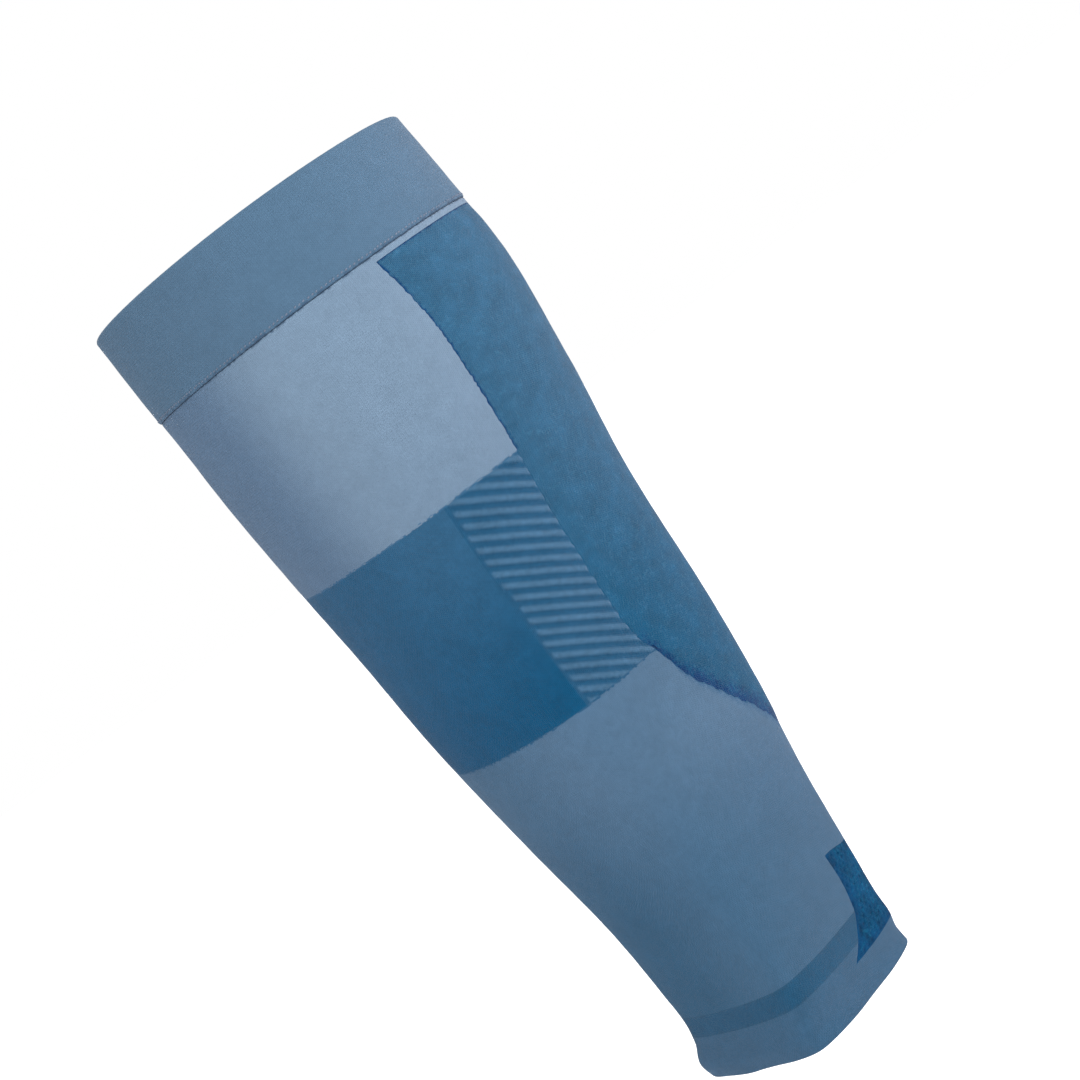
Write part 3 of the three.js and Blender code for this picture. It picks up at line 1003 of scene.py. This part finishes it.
@dataclass
class TopCuff(Zone):
    """Band that grips below the knee, knitted double and turned over at the rim."""

    node: str = "top_cuff"
    slot: str = "cuff_knit"
    # its darker colour at the foot is painted shade along the seam
    finish: KnitFinish = KnitFinish(
        "Cuff knit", (74, 101, 125), (97, 122, 145), fleck_share=0.2, unevenness=0.14,
        stitch_swing=0.05, loop_shade=0.16, relief=0.00015, edge=(54, 76, 100), edge_reach=0.7,
    )
    wall: float = 2.4
    rise: float = 0.4
    fold: float = 1.2
    foot_round: float = 0.7
    # part of the foot's rounding that the inner face takes
    inner_round: float = 0.6
    # depth of the stitches' scallops, needles to one, and how far they reach from the rim
    scallop: float = 0.05
    scallop_needles: float = 4.0
    scallop_reach: float = 2.5

    def grid(self) -> Mesh:
        """Rows that crowd where the cloth turns over at the rim and where it meets the seam.

        Returns:
            The grid.
        """
        levels, course = self.levels, self.gauge.course
        over = levels.rim - self.fold + self.fold * np.sin(np.radians(np.arange(0, 91, 15)))
        under = levels.seam + self.foot_round * (1 - np.cos(np.radians(np.arange(0, 91, 18))))
        middle = np.arange(under[-1] + course, over[0] - course / 2, course)
        heights = np.concatenate([under, middle, over])
        turns = 360 * self.columns(360, levels.rim)
        grid = Mesh(*np.meshgrid(turns, heights, indexing="ij"), closed=True)
        # height above the seam, which rounds the foot and sets the painted shade along the seam
        grid.facts["edge"] = grid.height - levels.seam
        to_rim = levels.rim - grid.height
        fold = turned_edge(to_rim, self.fold - CLEAR)
        foot = turned_edge(grid.facts["edge"], self.foot_round)
        needles = np.radians(grid.turn) * self.gauge.needles
        scallop = self.scallop * np.sin(needles / self.scallop_needles)
        grid.lift = scallop * (1 - ease(to_rim / self.scallop_reach)) - fold - foot
        grid.tuck = fold + foot * self.inner_round
        return grid


@dataclass
class ShinPanel(Zone):
    """Plain light knit over the upper shin, with its strip round the back under the cuff."""

    node: str = "shin_panel"
    slot: str = "shin_knit"
    # its colours: lighter where the knit is tight, partly painted light; the band's yarn past the
    # lower border; painted shade just under the seam
    finish: KnitFinish = KnitFinish(
        "Shin knit", (84, 108, 134), (128, 148, 170), cover=0.25, fleck_share=0.12,
        unevenness=0.12, stitch_swing=0.06, loop_shade=0.14, taut_and_painted_light=(110, 132, 154),
        meet=(36, 84, 118), edge=(66, 88, 112), edge_reach=0.3,
    )
    front_turn: float = 245.0
    back_turn: float = 115.0
    strip_rows: tuple[float, ...] = (0.5, 1.1, 1.6, 1.9, 2.1)
    seam_gap: float = 0.03
    seam_round: float = 0.5
    # where the knit is tight, partly painted light: turns, least share at the panel's foot, and
    # height of its growth
    taut_and_painted_light_start: float = 44.0
    taut_and_painted_light_turn: float = 36.0
    taut_and_painted_light_foot: float = 0.82
    taut_and_painted_light_rise: float = 50.0

    def grid(self) -> Mesh:
        """Rows at the courses in front, carried round the back in the strip alone.

        Returns:
            The grid.
        """
        levels = self.levels
        low = self.courses(levels.band_top, levels.strip_foot)
        strip = np.array(self.strip_rows) + levels.strip_foot
        heights = np.concatenate([low, strip, [levels.seam - self.seam_gap]])
        front = self.columns(self.front_turn, levels.seam)
        back = self.columns(self.back_turn, levels.seam)
        edge = self.form.calf_edge(np.minimum(heights, levels.strip_foot))
        grid = self.round_leg(edge, front, back, heights)
        grid.cells[len(front) - 1:, : len(low) - 1] = False
        # depth under the seam, which rounds the panel's top and sets the painted shade under the
        # seam
        grid.facts["edge"] = levels.seam - grid.height
        up = ease((grid.height - levels.band_top) / self.taut_and_painted_light_rise)
        side = ramp_from_shin(grid.turn, self.taut_and_painted_light_start, self.taut_and_painted_light_turn)
        grid.facts["taut_and_painted_light"] = side * lerp(self.taut_and_painted_light_foot, 1.0, up)
        grid.facts["meet"] = grid.height - levels.band_top
        grid.lift = -turned_edge(grid.facts["edge"], self.seam_round)
        return grid


@dataclass
class CalfPanel(Zone):
    """Thicker heathered knit behind, from the strip down to the V."""

    node: str = "calf_panel"
    slot: str = "calf_knit"
    # its colours: lighter where the knit is tight, partly painted light that grows up the leg;
    # painted shadow along the front edges and the V hem
    finish: KnitFinish = KnitFinish(
        "Calf knit", (16, 75, 108), (60, 114, 146), cover=0.8, fleck_share=0.24,
        unevenness=0.26, stitch_swing=0.08, loop_shade=0.16, relief=0.00018, marling=0.6,
        taut_and_painted_light=(41, 84, 114), edge=(0, 50, 95), edge_reach=1.2, edge_share=1.0,
    )
    wall: float = 1.8
    rise: float = 0.35
    edge_round: float = 0.12
    thin_reach: float = 7.0
    behind: int = 128
    # rows beside the hem and the strip in millimetres, and columns beside the sides as shares
    fine_rows: tuple[float, ...] = (0.12, 0.3, 0.6)
    fine_columns: tuple[float, ...] = (0.0012, 0.003, 0.0052)
    # how fast the painted shadow along the borders fades: from the sides, the hem and the strip,
    # and beside the ribs
    fade_side: float = 1.3
    fade_hem: float = 0.18
    fade_top: float = 2.0
    beside_ribs: float = 2.2
    beside_rise: float = 3.0
    # where the knit is tight, partly painted light: millimetres below the band's foot where it
    # starts, and height of its growth
    taut_and_painted_light_below: float = 10.0
    taut_and_painted_light_rise: float = 110.0

    def grid(self) -> Mesh:
        """Columns shared with the lower panel, rows shared with the band and the shin panel.

        Returns:
            The grid.
        """
        form, levels = self.form, self.levels
        shin = self.courses(levels.band_top, levels.strip_foot)
        heights = np.concatenate([self.courses(levels.band_foot, levels.band_top), shin[1:]])
        rows, thin = np.array(self.fine_rows), np.array(self.fine_columns)
        heights = np.unique(np.concatenate([heights, heights[0] + rows, heights[-1] - rows]))
        shares = np.linspace(0, 1, self.behind + 1)
        grid = self.between(
            form.calf_edge, lambda h: 360 - form.calf_edge(h), form.v_hem,
            self.level(levels.strip_foot), np.unique(np.concatenate([shares, thin, 1 - thin])),
            (heights - levels.band_foot) / (levels.strip_foot - levels.band_foot),
        )
        arc = form.arc(grid.turn, grid.height)
        front = (grid.turn - form.calf_edge(grid.height)) * arc
        other = (360 - form.calf_edge(grid.height) - grid.turn) * arc
        sides = np.minimum(front, other)
        hem = grid.height - form.v_hem(grid.turn)
        top = levels.strip_foot - grid.height
        grid.facts["rim"] = np.maximum(np.minimum(sides, np.minimum(hem, top)), 0)
        ribs = self.beside_ribs * ease((levels.band_top - grid.height) / self.beside_rise + 0.5)
        level = np.minimum(self.fade_hem * hem, self.fade_top * top)
        grid.facts["edge"] = np.maximum(np.minimum(self.fade_side * sides + ribs, level), 0)
        above = grid.height - levels.band_foot + self.taut_and_painted_light_below
        grid.facts["taut_and_painted_light"] = ease(above / self.taut_and_painted_light_rise)
        thin = self.rise * (1 - ease(grid.facts["rim"] / self.thin_reach))
        grid.lift = -thin - turned_edge(grid.facts["rim"], self.edge_round)
        return grid


@dataclass
class ShinBand(Zone):
    """Smooth dark band over the middle of the shin, between the two rib panels."""

    node: str = "shin_band"
    slot: str = "band_knit"
    finish: KnitFinish = KnitFinish(
        "Band knit", (8, 73, 109), (46, 97, 131), unevenness=0.22, stitch_swing=0.12,
        loop_shade=0.2, marling=0.2, taut_and_painted_light=(43, 86, 118),
    )
    rib_front: float = 95.0
    # where the knit is tight, partly painted light: share in front, and turns from which it grows
    # to the sides
    taut_and_painted_light_front: float = 0.65
    taut_and_painted_light_start: float = 55.0
    taut_and_painted_light_turn: float = 35.0

    def grid(self) -> Mesh:
        """Rows shared with the rib panels.

        Returns:
            The grid.
        """
        foot, top = self.levels.band_foot, self.levels.band_top
        grid = self.between(
            self.level(-self.rib_front), self.level(self.rib_front), self.level(foot),
            self.level(top), self.columns(2 * self.rib_front, top), self.rows(foot, top),
        )
        side = ramp_from_shin(grid.turn, self.taut_and_painted_light_start, self.taut_and_painted_light_turn)
        up = ease((grid.height - foot) / (top - foot))
        grid.facts["taut_and_painted_light"] = up * lerp(self.taut_and_painted_light_front, 1.0, side)
        return grid


@dataclass
class RibPanel(Zone):
    """Panel of raised diagonal ribs beside the shin band, low at the back."""

    side: int = 1
    slot: str = "rib_knit"
    finish: KnitFinish = KnitFinish(
        "Rib knit", (32, 79, 112), (64, 108, 140), fleck_share=0.2, stitch_swing=0.16,
        marling=0.2, crest=(64, 101, 131),
    )
    rib_front: float = 95.0
    pitch: float = 0.5
    row_pitch: float = 0.4
    width: float = 27.0
    rib_pitch: float = 4.38
    crest: float = 1.3
    flank: float = 0.8
    rib_rise: float = 0.45
    ground: float = 0.1
    ground_reach: float = 1.5
    drop: float = 17.4
    first: float = 2.6
    # share of a needle over which a rib steps up to the next one
    needle_step: float = 0.4
    # where ribs start behind the band, how unevenly, and the length of their slope there
    rib_start: float = 0.6
    start_slope: float = 1.1
    # distance from the borders within which ribs die away
    rim_slope: float = 0.8
    # the scatter's number for the rib that is numbered 0
    numbered_from: int = 40

    def __post_init__(self) -> None:
        """Names the panel for its side."""
        self.node = "rib_panel_left" if self.side > 0 else "rib_panel_right"

    def grid(self) -> Mesh:
        """Fine grid, so that the ribs are shaped by it.

        Returns:
            The grid.
        """
        form, foot, top = self.form, self.levels.band_foot, self.levels.band_top
        left, right = self.level(self.rib_front), form.calf_edge
        if self.side < 0:
            left, right = lambda h: -form.calf_edge(h), self.level(-self.rib_front)
        grid = self.between(
            left, right, self.level(foot), self.level(top), steps(self.width, self.pitch),
            steps(top - foot, self.row_pitch),
        )
        turn = np.abs(grid.turn)
        arc = form.arc(turn, grid.height)
        front = (turn - self.rib_front) * arc
        back = (form.calf_edge(grid.height) - turn) * arc
        ends = np.minimum(grid.height - foot, top - grid.height)
        grid.facts["rim"] = rim = np.minimum(np.minimum(front, back), ends)
        grid.facts["relief"] = rib = self.ribs(turn, grid.height, front)
        ground = self.ground * ease(rim / self.ground_reach)
        grid.lift = (self.rib_rise + ground) * ease(rim / self.rim_slope) * rib - ground
        return grid

    def ribs(self, turn: np.ndarray, height: np.ndarray, front: np.ndarray) -> np.ndarray:
        """Shape of the ribs: 1 on a crest and 0 on the ground between them.

        Args:
            turn: Turns from the shin.
            height: Heights in millimetres.
            front: Distances from the panel's front border.

        Returns:
            The share of the ribs' rise at each place, stepped from needle to needle.
        """
        width = 360 / self.gauge.needles
        whole = np.floor(turn / width)
        before = (1 - self.needle_step) / 2
        stepped = width * (whole + ease((turn / width - whole - before) / self.needle_step))
        top = self.levels.band_top
        slope = self.drop / (self.form.calf_edge(np.array(top)) - self.rib_front)
        middle = top - self.first - slope * (stepped - self.rib_front)
        number = np.round((height - middle) / self.rib_pitch)
        off = np.abs(height - middle - number * self.rib_pitch)
        rib = 1 - ease((off - self.crest / 2) / self.flank)
        start = self.rib_start * (1 + scatter(number + self.numbered_from, Seed.RIB_START))
        return rib * ease((front - start) / self.start_slope)


@dataclass
class LowerPanel(Zone):
    """Mid-tone knit from the band down to the ankle, cut out round the tendon patch."""

    node: str = "lower_panel"
    slot: str = "lower_knit"
    # its colours: lighter where the knit is tight, partly painted light; the calf panel's yarn past
    # the V hem; painted shade below it
    finish: KnitFinish = KnitFinish(
        "Lower knit", (44, 85, 115), (84, 114, 142), fleck_share=0.2, unevenness=0.16,
        stitch_swing=0.08, loop_shade=0.18, taut_and_painted_light=(76, 105, 132), meet=(24, 74, 108),
        edge=(50, 90, 124), edge_reach=1.6, edge_share=0.7,
    )
    behind: int = 128
    front: int = 215
    row_pitch: float = 0.95
    # where the knit is tight, partly painted light: turns and share at the sides, heights and share
    # above the ankle
    side_start: float = 40.0
    side_turn: float = 50.0
    side_share: float = 0.48
    above_start: float = 58.0
    above_rise: float = 66.0
    above_share: float = 0.62
    # how fast the painted shade fades below the V, and how far in front it is left out
    fade: float = 0.5
    past_reach: float = 9.0
    front_lap: float = 2.0
    front_turn: float = 6.0

    def grid(self) -> Mesh:
        """Columns shared with the calf panel above and the patch below.

        Returns:
            The grid.
        """
        form, levels = self.form, self.levels
        corner = form.calf_front[0][1]
        middle = (corner + 180) / 2
        quarter = self.behind // 4
        beside = np.linspace(corner, middle, quarter + 1)
        turns = np.concatenate([
            -beside[::-1], np.linspace(-corner, corner, self.front + 1)[1:-1], beside,
            np.linspace(middle, 360 - middle, self.behind // 2 + 1)[1:],
        ])
        last = 2 * quarter + self.front
        low = self.courses(levels.ring_top, levels.patch_top)
        drawn = [self._drawn(turns, last, middle, form.patch_side(height)) for height in low]
        side = drawn[-1]
        foot = np.where(np.arange(len(turns)) > last, form.patch_head(side), levels.patch_top)
        rows = [(turn, np.full_like(turn, height)) for turn, height in zip(drawn, low)]
        rows[-1] = (side, foot)
        for up in steps(levels.band_foot - levels.patch_top, self.row_pitch)[1:]:
            rows.append((lerp(side, turns, up), lerp(foot, form.v_hem(turns), up)))
        turn, height = (np.stack(part, axis=1) for part in zip(*rows))
        grid = Mesh(turn, height, closed=True)
        grid.cells[last:, : len(low) - 1] = False
        sides = ramp_from_shin(turn, self.side_start, self.side_turn)
        above = ease((height - self.above_start) / self.above_rise)
        grid.facts["taut_and_painted_light"] = self.side_share * sides + self.above_share * above
        below = form.v_hem(turn) - height
        grid.facts["meet"] = below
        in_front = 1 - ramp_from_shin(turn, corner - self.front_lap, self.front_turn)
        grid.facts["edge"] = np.maximum(below, 0) * self.fade + self.past_reach * in_front
        return grid

    def _drawn(self, turns: np.ndarray, last: int, middle: float, side: float) -> np.ndarray:
        """Columns drawn in to the patch's side.

        Args:
            turns: Turns of the columns at the top.
            last: Number of the column that follows the patch's side.
            middle: Turn of that column at the top.
            side: Turn of the patch's side.

        Returns:
            The columns' turns beside and over the patch.
        """
        front = turns[: last + 1] * side / middle
        back = np.linspace(side, 360 - side, len(turns) - last)[1:]
        return np.concatenate([front, back])


@dataclass
class AnkleRing(Zone):
    """Dark stripe round the front of the ankle, from one side of the patch to the other."""

    node: str = "ankle_ring"
    slot: str = "ring_knit"
    # its darker colour at the borders is painted shade along both borders
    finish: KnitFinish = KnitFinish(
        "Ring knit", (33, 78, 109), (48, 92, 120), fleck_share=0.25, unevenness=0.25,
        edge=(44, 78, 104), edge_reach=0.7, edge_share=0.6,
    )
    front_turn: float = 300.0

    def grid(self) -> Mesh:
        """Rows at the courses.

        Returns:
            The grid.
        """
        form, foot, top = self.form, self.levels.ring_foot, self.levels.ring_top
        grid = self.between(
            lambda h: -form.patch_side(h), form.patch_side, self.level(foot), self.level(top),
            self.columns(self.front_turn, top), self.rows(foot, top),
        )
        # distance from the nearer border, which sets the painted shade
        grid.facts["edge"] = np.minimum(grid.height - foot, top - grid.height)
        return grid


@dataclass
class AchillesPatch(Zone):
    """Dark open-mesh patch over the tendon, wider at its foot."""

    node: str = "achilles_patch"
    slot: str = "patch_mesh"
    # its colours: painted shade in the openings of the mesh, and painted shade along the sides and
    # the foot
    finish: KnitFinish = KnitFinish(
        "Patch mesh", (0, 66, 104), (10, 96, 132), cover=0.9, fleck_share=0.5,
        unevenness=0.6, marling=1.2, sheen=0.025, crest=(0, 50, 84), edge=(0, 58, 100),
        edge_reach=2.4, edge_share=0.75,
    )
    across: int = 96
    row_pitch: float = 0.45
    hole_across: float = 2.2
    hole_up: float = 1.9
    hole_depth: float = 0.4
    # radius of an opening and its squash, as shares, and how unevenly they lie and deepen
    hole_radius: float = 0.42
    hole_squash: float = 0.9
    hole_stray: float = 0.09
    hole_even: float = 0.65
    # step of the openings' numbers from row to row
    row_numbers: int = 31
    # how fast the painted shade along the borders fades from the sides and from the foot
    fade_side: float = 0.5
    fade_foot: float = 0.7

    def grid(self) -> Mesh:
        """Fine grid, so that the openings of the mesh are shaped by it.

        Returns:
            The grid.
        """
        form, levels = self.form, self.levels
        grid = self.between(
            form.patch_side, lambda h: 360 - form.patch_side(h), self.level(levels.patch_foot),
            form.patch_head, np.linspace(0, 1, self.across + 1),
            steps(levels.patch_top - levels.patch_foot, self.row_pitch),
        )
        arc = form.arc(grid.turn, grid.height)
        # depth of the openings, which shapes them and sets their painted shade
        grid.facts["relief"] = self.holes((grid.turn - 180) * arc, grid.height)
        side = self.fade_side * (from_shin(grid.turn) - form.patch_side(grid.height)) * arc
        foot = self.fade_foot * (grid.height - levels.patch_foot)
        grid.facts["edge"] = np.maximum(np.minimum(side, foot), 0)
        grid.lift = -self.hole_depth * grid.facts["relief"]
        return grid

    def holes(self, along: np.ndarray, height: np.ndarray) -> np.ndarray:
        """Openings of the mesh: 1 in the middle of one and 0 on the yarn round it.

        Args:
            along: Millimetres round the leg from the middle of the back.
            height: Heights in millimetres.

        Returns:
            The share of the openings' depth at each place.
        """
        up = height / self.hole_up
        row = np.floor(up)
        shifted = along / self.hole_across + 0.5 * (row % 2)
        near = np.round(shifted)
        own = scatter(near + self.row_numbers * row, Seed.HOLES)
        x, y = shifted - near + self.hole_stray * own, up - row - 0.5
        shape = 1 - ease(np.hypot(x, y * self.hole_squash) / self.hole_radius)
        return shape * (self.hole_even + (1 - self.hole_even) * own)


@dataclass
class AnkleCuff(Zone):
    """Soft flared cuff at the ankle, its hem turned in, lower behind under the patch."""

    node: str = "ankle_cuff"
    slot: str = "hem_knit"
    finish: KnitFinish = KnitFinish(
        "Hem knit", (55, 90, 119), (76, 110, 137), fleck_share=0.25,
    )
    wall: float = 1.9
    fold: float = 0.95
    front_turn: float = 270.0
    back_columns: int = 60
    # depth, number round the leg and start of the hem's waves, and how far up they reach
    waves: Table = ((0.3, 4, 0.7), (0.22, 9, 2.1))
    wave_reach: float = 9.0

    def grid(self) -> Mesh:
        """Rows that crowd at the rolled hem.

        Returns:
            The grid.
        """
        levels = self.levels
        roll = self.fold * (1 - np.sin(np.radians(np.arange(90, -1, -15))))
        low = self.courses(roll[-1], levels.patch_foot)
        high = self.courses(levels.patch_foot, levels.ring_foot)
        heights = np.concatenate([roll, low[1:], high[1:]])
        front = self.columns(self.front_turn, levels.ring_foot)
        back = np.linspace(0, 1, self.back_columns + 1)
        edge = self.form.patch_side(np.maximum(heights, levels.patch_foot))
        grid = self.round_leg(edge, front, back, heights)
        grid.cells[len(front) - 1:, len(roll) + len(low) - 2:] = False
        roll = turned_edge(grid.height, self.fold - CLEAR)
        t = np.radians(grid.turn)
        wave = sum(depth * np.sin(count * t + start) for depth, count, start in self.waves)
        wave = wave * (1 - ease(grid.height / self.wave_reach))
        grid.lift, grid.tuck = wave - roll, wave + roll
        return grid


# Seam stitches


@dataclass
class SeamStitches:
    """Row of short raised stitches on the cuff, just above its seam."""

    form: LegForm
    gauge: Gauge
    name: str = "seam_stitches"
    slot: str = "cuff_knit"
    finish: KnitFinish = KnitFinish(
        "Seam thread", (110, 120, 140), (132, 134, 150), unevenness=0.25, loop_shade=0.1,
    )
    count: int = 236
    above: float = 1.15
    length: float = 0.95
    width: float = 0.42
    flatness: float = 0.8
    # how far the stitches stand off, lean over in radians, and stray in degrees and millimetres
    lift: float = 0.44
    lean: float = 0.35
    stray_turn: float = 0.25
    stray_level: float = 0.12
    # least share of the width, at the ends, and the number of bands and sides of a stitch
    thin_end: float = 0.2
    bands: int = 5
    sides: int = 8

    def build(self, workshop: Workshop) -> bpy.types.Object:
        """Makes the row of stitches and dresses it.

        Args:
            workshop: Maker of the materials.

        Returns:
            The dressed piece.
        """
        points, quads = self._rows()
        mesh = quad_mesh(self.name, points, quads)
        map_knit(mesh, points[quads.reshape(-1)][:, 1:] / self.gauge.course)
        return workshop.dressed(mesh, self.finish)

    def _rows(self) -> tuple[np.ndarray, np.ndarray]:
        """Points and faces of all the stitches.

        Returns:
            Points in millimetres and quads of their numbers.
        """
        number = np.arange(self.count)
        turn = 360 * number / self.count + self.stray_turn * scatter(number, Seed.STITCH_PLACE)
        stray = self.stray_level * scatter(number, Seed.STITCH_LEVEL)
        level = self.form.levels.seam + self.above + stray
        arc = self.form.arc(turn, level)[:, None, None]
        along = np.linspace(-1, 1, self.bands + 1)
        angle = 2 * np.pi * np.arange(self.sides) / self.sides
        shape = (self.count, self.bands + 1, self.sides)
        thick = np.sqrt(np.maximum(1 - along**2, self.thin_end**2))[:, None]
        x = self.length / 2 * along[:, None] * np.ones(shape)
        y = self.width / 2 * thick * np.cos(angle)
        z = self.width / 2 * thick * np.sin(angle)
        turns = turn[:, None, None] + (x * math.cos(self.lean) - y * math.sin(self.lean)) / arc
        heights = level[:, None, None] + x * math.sin(self.lean) + y * math.cos(self.lean)
        stand = self.lift + z * self.flatness + self.form.ripple(turns, heights)
        points = self.form.stood_off(turns, heights, stand)
        i, k, s = np.indices((self.count, self.bands, self.sides))
        base = (i * (self.bands + 1) + k) * self.sides
        after = (s + 1) % self.sides
        quads = np.stack(
            [base + s, base + self.sides + s, base + self.sides + after, base + after], -1,
        )
        return points.reshape(-1, 3), quads.reshape(-1, 4)


# Studio


def way(azimuth: float, elevation: float) -> Vector:
    """Direction from the sleeve at an azimuth and an elevation in degrees.

    Args:
        azimuth: Degrees from the front, towards +X.
        elevation: Degrees above level.

    Returns:
        The unit vector.
    """
    turn, lift = math.radians(azimuth), math.radians(elevation)
    level = math.cos(lift)
    return Vector((math.sin(turn) * level, -math.cos(turn) * level, math.sin(lift)))


class Lamp(Enum):
    """Lamps of the studio: azimuth, elevation, distance, size, power and colour."""

    KEY = (126.0, 40.0, 0.9, 0.6, 6.6, (1.0, 0.985, 0.965))
    FILL = (60.0, 20.0, 1.6, 1.0, 2.0, (0.97, 0.985, 1.0))
    SIDE = (5.0, 15.0, 1.4, 0.9, 2.6, (0.88, 0.98, 1.0))
    RIM = (205.0, 12.0, 0.9, 0.5, 3.6, (1.0, 0.82, 0.82))


@dataclass(frozen=True)
class Studio:
    """Camera, lamps, pale floor and pale surroundings of the portrait."""

    azimuth: float = 97.0
    elevation: float = 5.523
    roll: float = 36.957
    distance: float = 0.7
    lens: float = 72.33
    sensor: float = 36.0
    nearest: float = 0.05
    farthest: float = 20.0
    aim: tuple[float, float, float] = (0.0, 0.01796, -0.08358)
    floor_level: float = -0.36
    floor_half: float = 6.0
    floor_tone: float = 0.9
    floor_glow: float = 0.45
    floor_roughness: float = 0.9
    bright_side: tuple[float, float, float] = (0.45, 0.78, 0.43)
    bright: float = 0.88
    dim: float = 0.8

    def camera(self) -> None:
        """Sets the camera at the portrait's angle."""
        back = way(self.azimuth, self.elevation)
        right = (-back).cross(Vector((0, 0, 1))).normalized()
        up = right.cross(-back)
        c, s = math.cos(math.radians(self.roll)), math.sin(math.radians(self.roll))
        data = bpy.data.cameras.new("portrait_camera")
        data.lens, data.sensor_width = self.lens, self.sensor
        data.clip_start, data.clip_end = self.nearest, self.farthest
        matrix = Matrix((right * c - up * s, right * s + up * c, back)).transposed().to_4x4()
        matrix.translation = Vector(self.aim) + back * self.distance
        camera = put(data)
        camera.matrix_world = matrix
        bpy.context.scene.camera = camera

    def lamps(self) -> None:
        """Hangs the soft lamps round the sleeve."""
        for lamp in Lamp:
            azimuth, elevation, distance, size, power, colour = lamp.value
            data = bpy.data.lights.new(f"lamp_{lamp.name.lower()}", "AREA")
            data.shape, data.size, data.energy, data.color = "DISK", size, power, colour
            made = put(data)
            made.location = Vector(self.aim) + way(azimuth, elevation) * distance
            made.rotation_euler = way(azimuth, elevation).to_track_quat("Z", "Y").to_euler()

    def floor(self) -> None:
        """Lays the pale floor."""
        half, z = self.floor_half, self.floor_level
        mesh = bpy.data.meshes.new("studio_floor")
        corners = [(-half, -half, z), (half, -half, z), (half, half, z), (-half, half, z)]
        mesh.from_pydata(corners, [], [(0, 1, 2, 3)])
        material = bpy.data.materials.new("Studio floor")
        material.use_nodes = True
        graph, tone = Graph(material.node_tree), self.floor_tone
        graph.fill(
            graph.find("BSDF_PRINCIPLED"), Base_Color=(tone, tone, tone, 1.0),
            Roughness=self.floor_roughness, Emission_Color=(1.0, 1.0, 1.0, 1.0),
            Emission_Strength=self.floor_glow,
        )
        mesh.materials.append(material)
        put(mesh)

    def surroundings(self) -> None:
        """Makes the surroundings pale, lit more from one side, and the picture's tones plain."""
        world = bpy.data.worlds.new("studio")
        world.use_nodes = True
        graph = Graph(world.node_tree)
        toward = graph.node("ShaderNodeVectorMath", operation="DOT_PRODUCT")
        graph.feed(graph.node("ShaderNodeTexCoord").outputs["Generated"], toward.inputs[0])
        graph.feed(self.bright_side, toward.inputs[1])
        light = graph.ranged(toward.outputs["Value"], -1.0, 1.0, self.dim, self.bright)
        seen = graph.node("ShaderNodeLightPath").outputs["Is Camera Ray"]
        graph.fill(
            graph.find("BACKGROUND"), Color=(1.0, 1.0, 1.0, 1.0),
            Strength=graph.math("MAXIMUM", light, seen),
        )
        bpy.context.scene.world = world
        bpy.context.scene.view_settings.view_transform = "Standard"

    def build(self) -> None:
        """Sets up the whole studio."""
        for part in (self.camera, self.lamps, self.floor, self.surroundings):
            part()


# The sleeve


@dataclass
class Sleeve:
    """The whole sleeve: its knitted zones in order from the rim down, and its seam stitches."""

    form: LegForm = field(default_factory=LegForm)
    gauge: Gauge = field(default_factory=Gauge)

    def build(self, workshop: Workshop) -> None:
        """Builds and dresses each zone.

        Args:
            workshop: Maker of the materials.
        """
        both = self.form, self.gauge
        zones = [
            TopCuff(*both), ShinPanel(*both), CalfPanel(*both), ShinBand(*both),
            RibPanel(*both, side=1), RibPanel(*both, side=-1), LowerPanel(*both),
            AnkleRing(*both), AchillesPatch(*both), AnkleCuff(*both),
        ]
        pieces = {}
        for zone in zones:
            pieces[zone.node] = piece = zone.build(workshop)
            low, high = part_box(zone.node)
            LOG.info(
                "%s: %d faces for node %s, %.0f by %.0f by %.0f mm", piece.name,
                len(piece.data.polygons), zone.node, *((high - low) / MM),
            )
        stitches = SeamStitches(self.form, self.gauge).build(workshop)
        LOG.info("%s: %d faces", stitches.name, len(stitches.data.polygons))
        on_sheets = {"top_cuff": (stitches,), "lower_panel": (pieces["ankle_ring"],)}
        for zone in zones:
            if zone.node != "ankle_ring":
                zone.declare(pieces[zone.node], on_sheets.get(zone.node, ()))


def main() -> None:
    logging.basicConfig(level=logging.INFO, format="%(name)s: %(message)s")
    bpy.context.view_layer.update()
    Sleeve().build(Workshop())
    Studio().build()


if __name__ == "__main__":
    main()
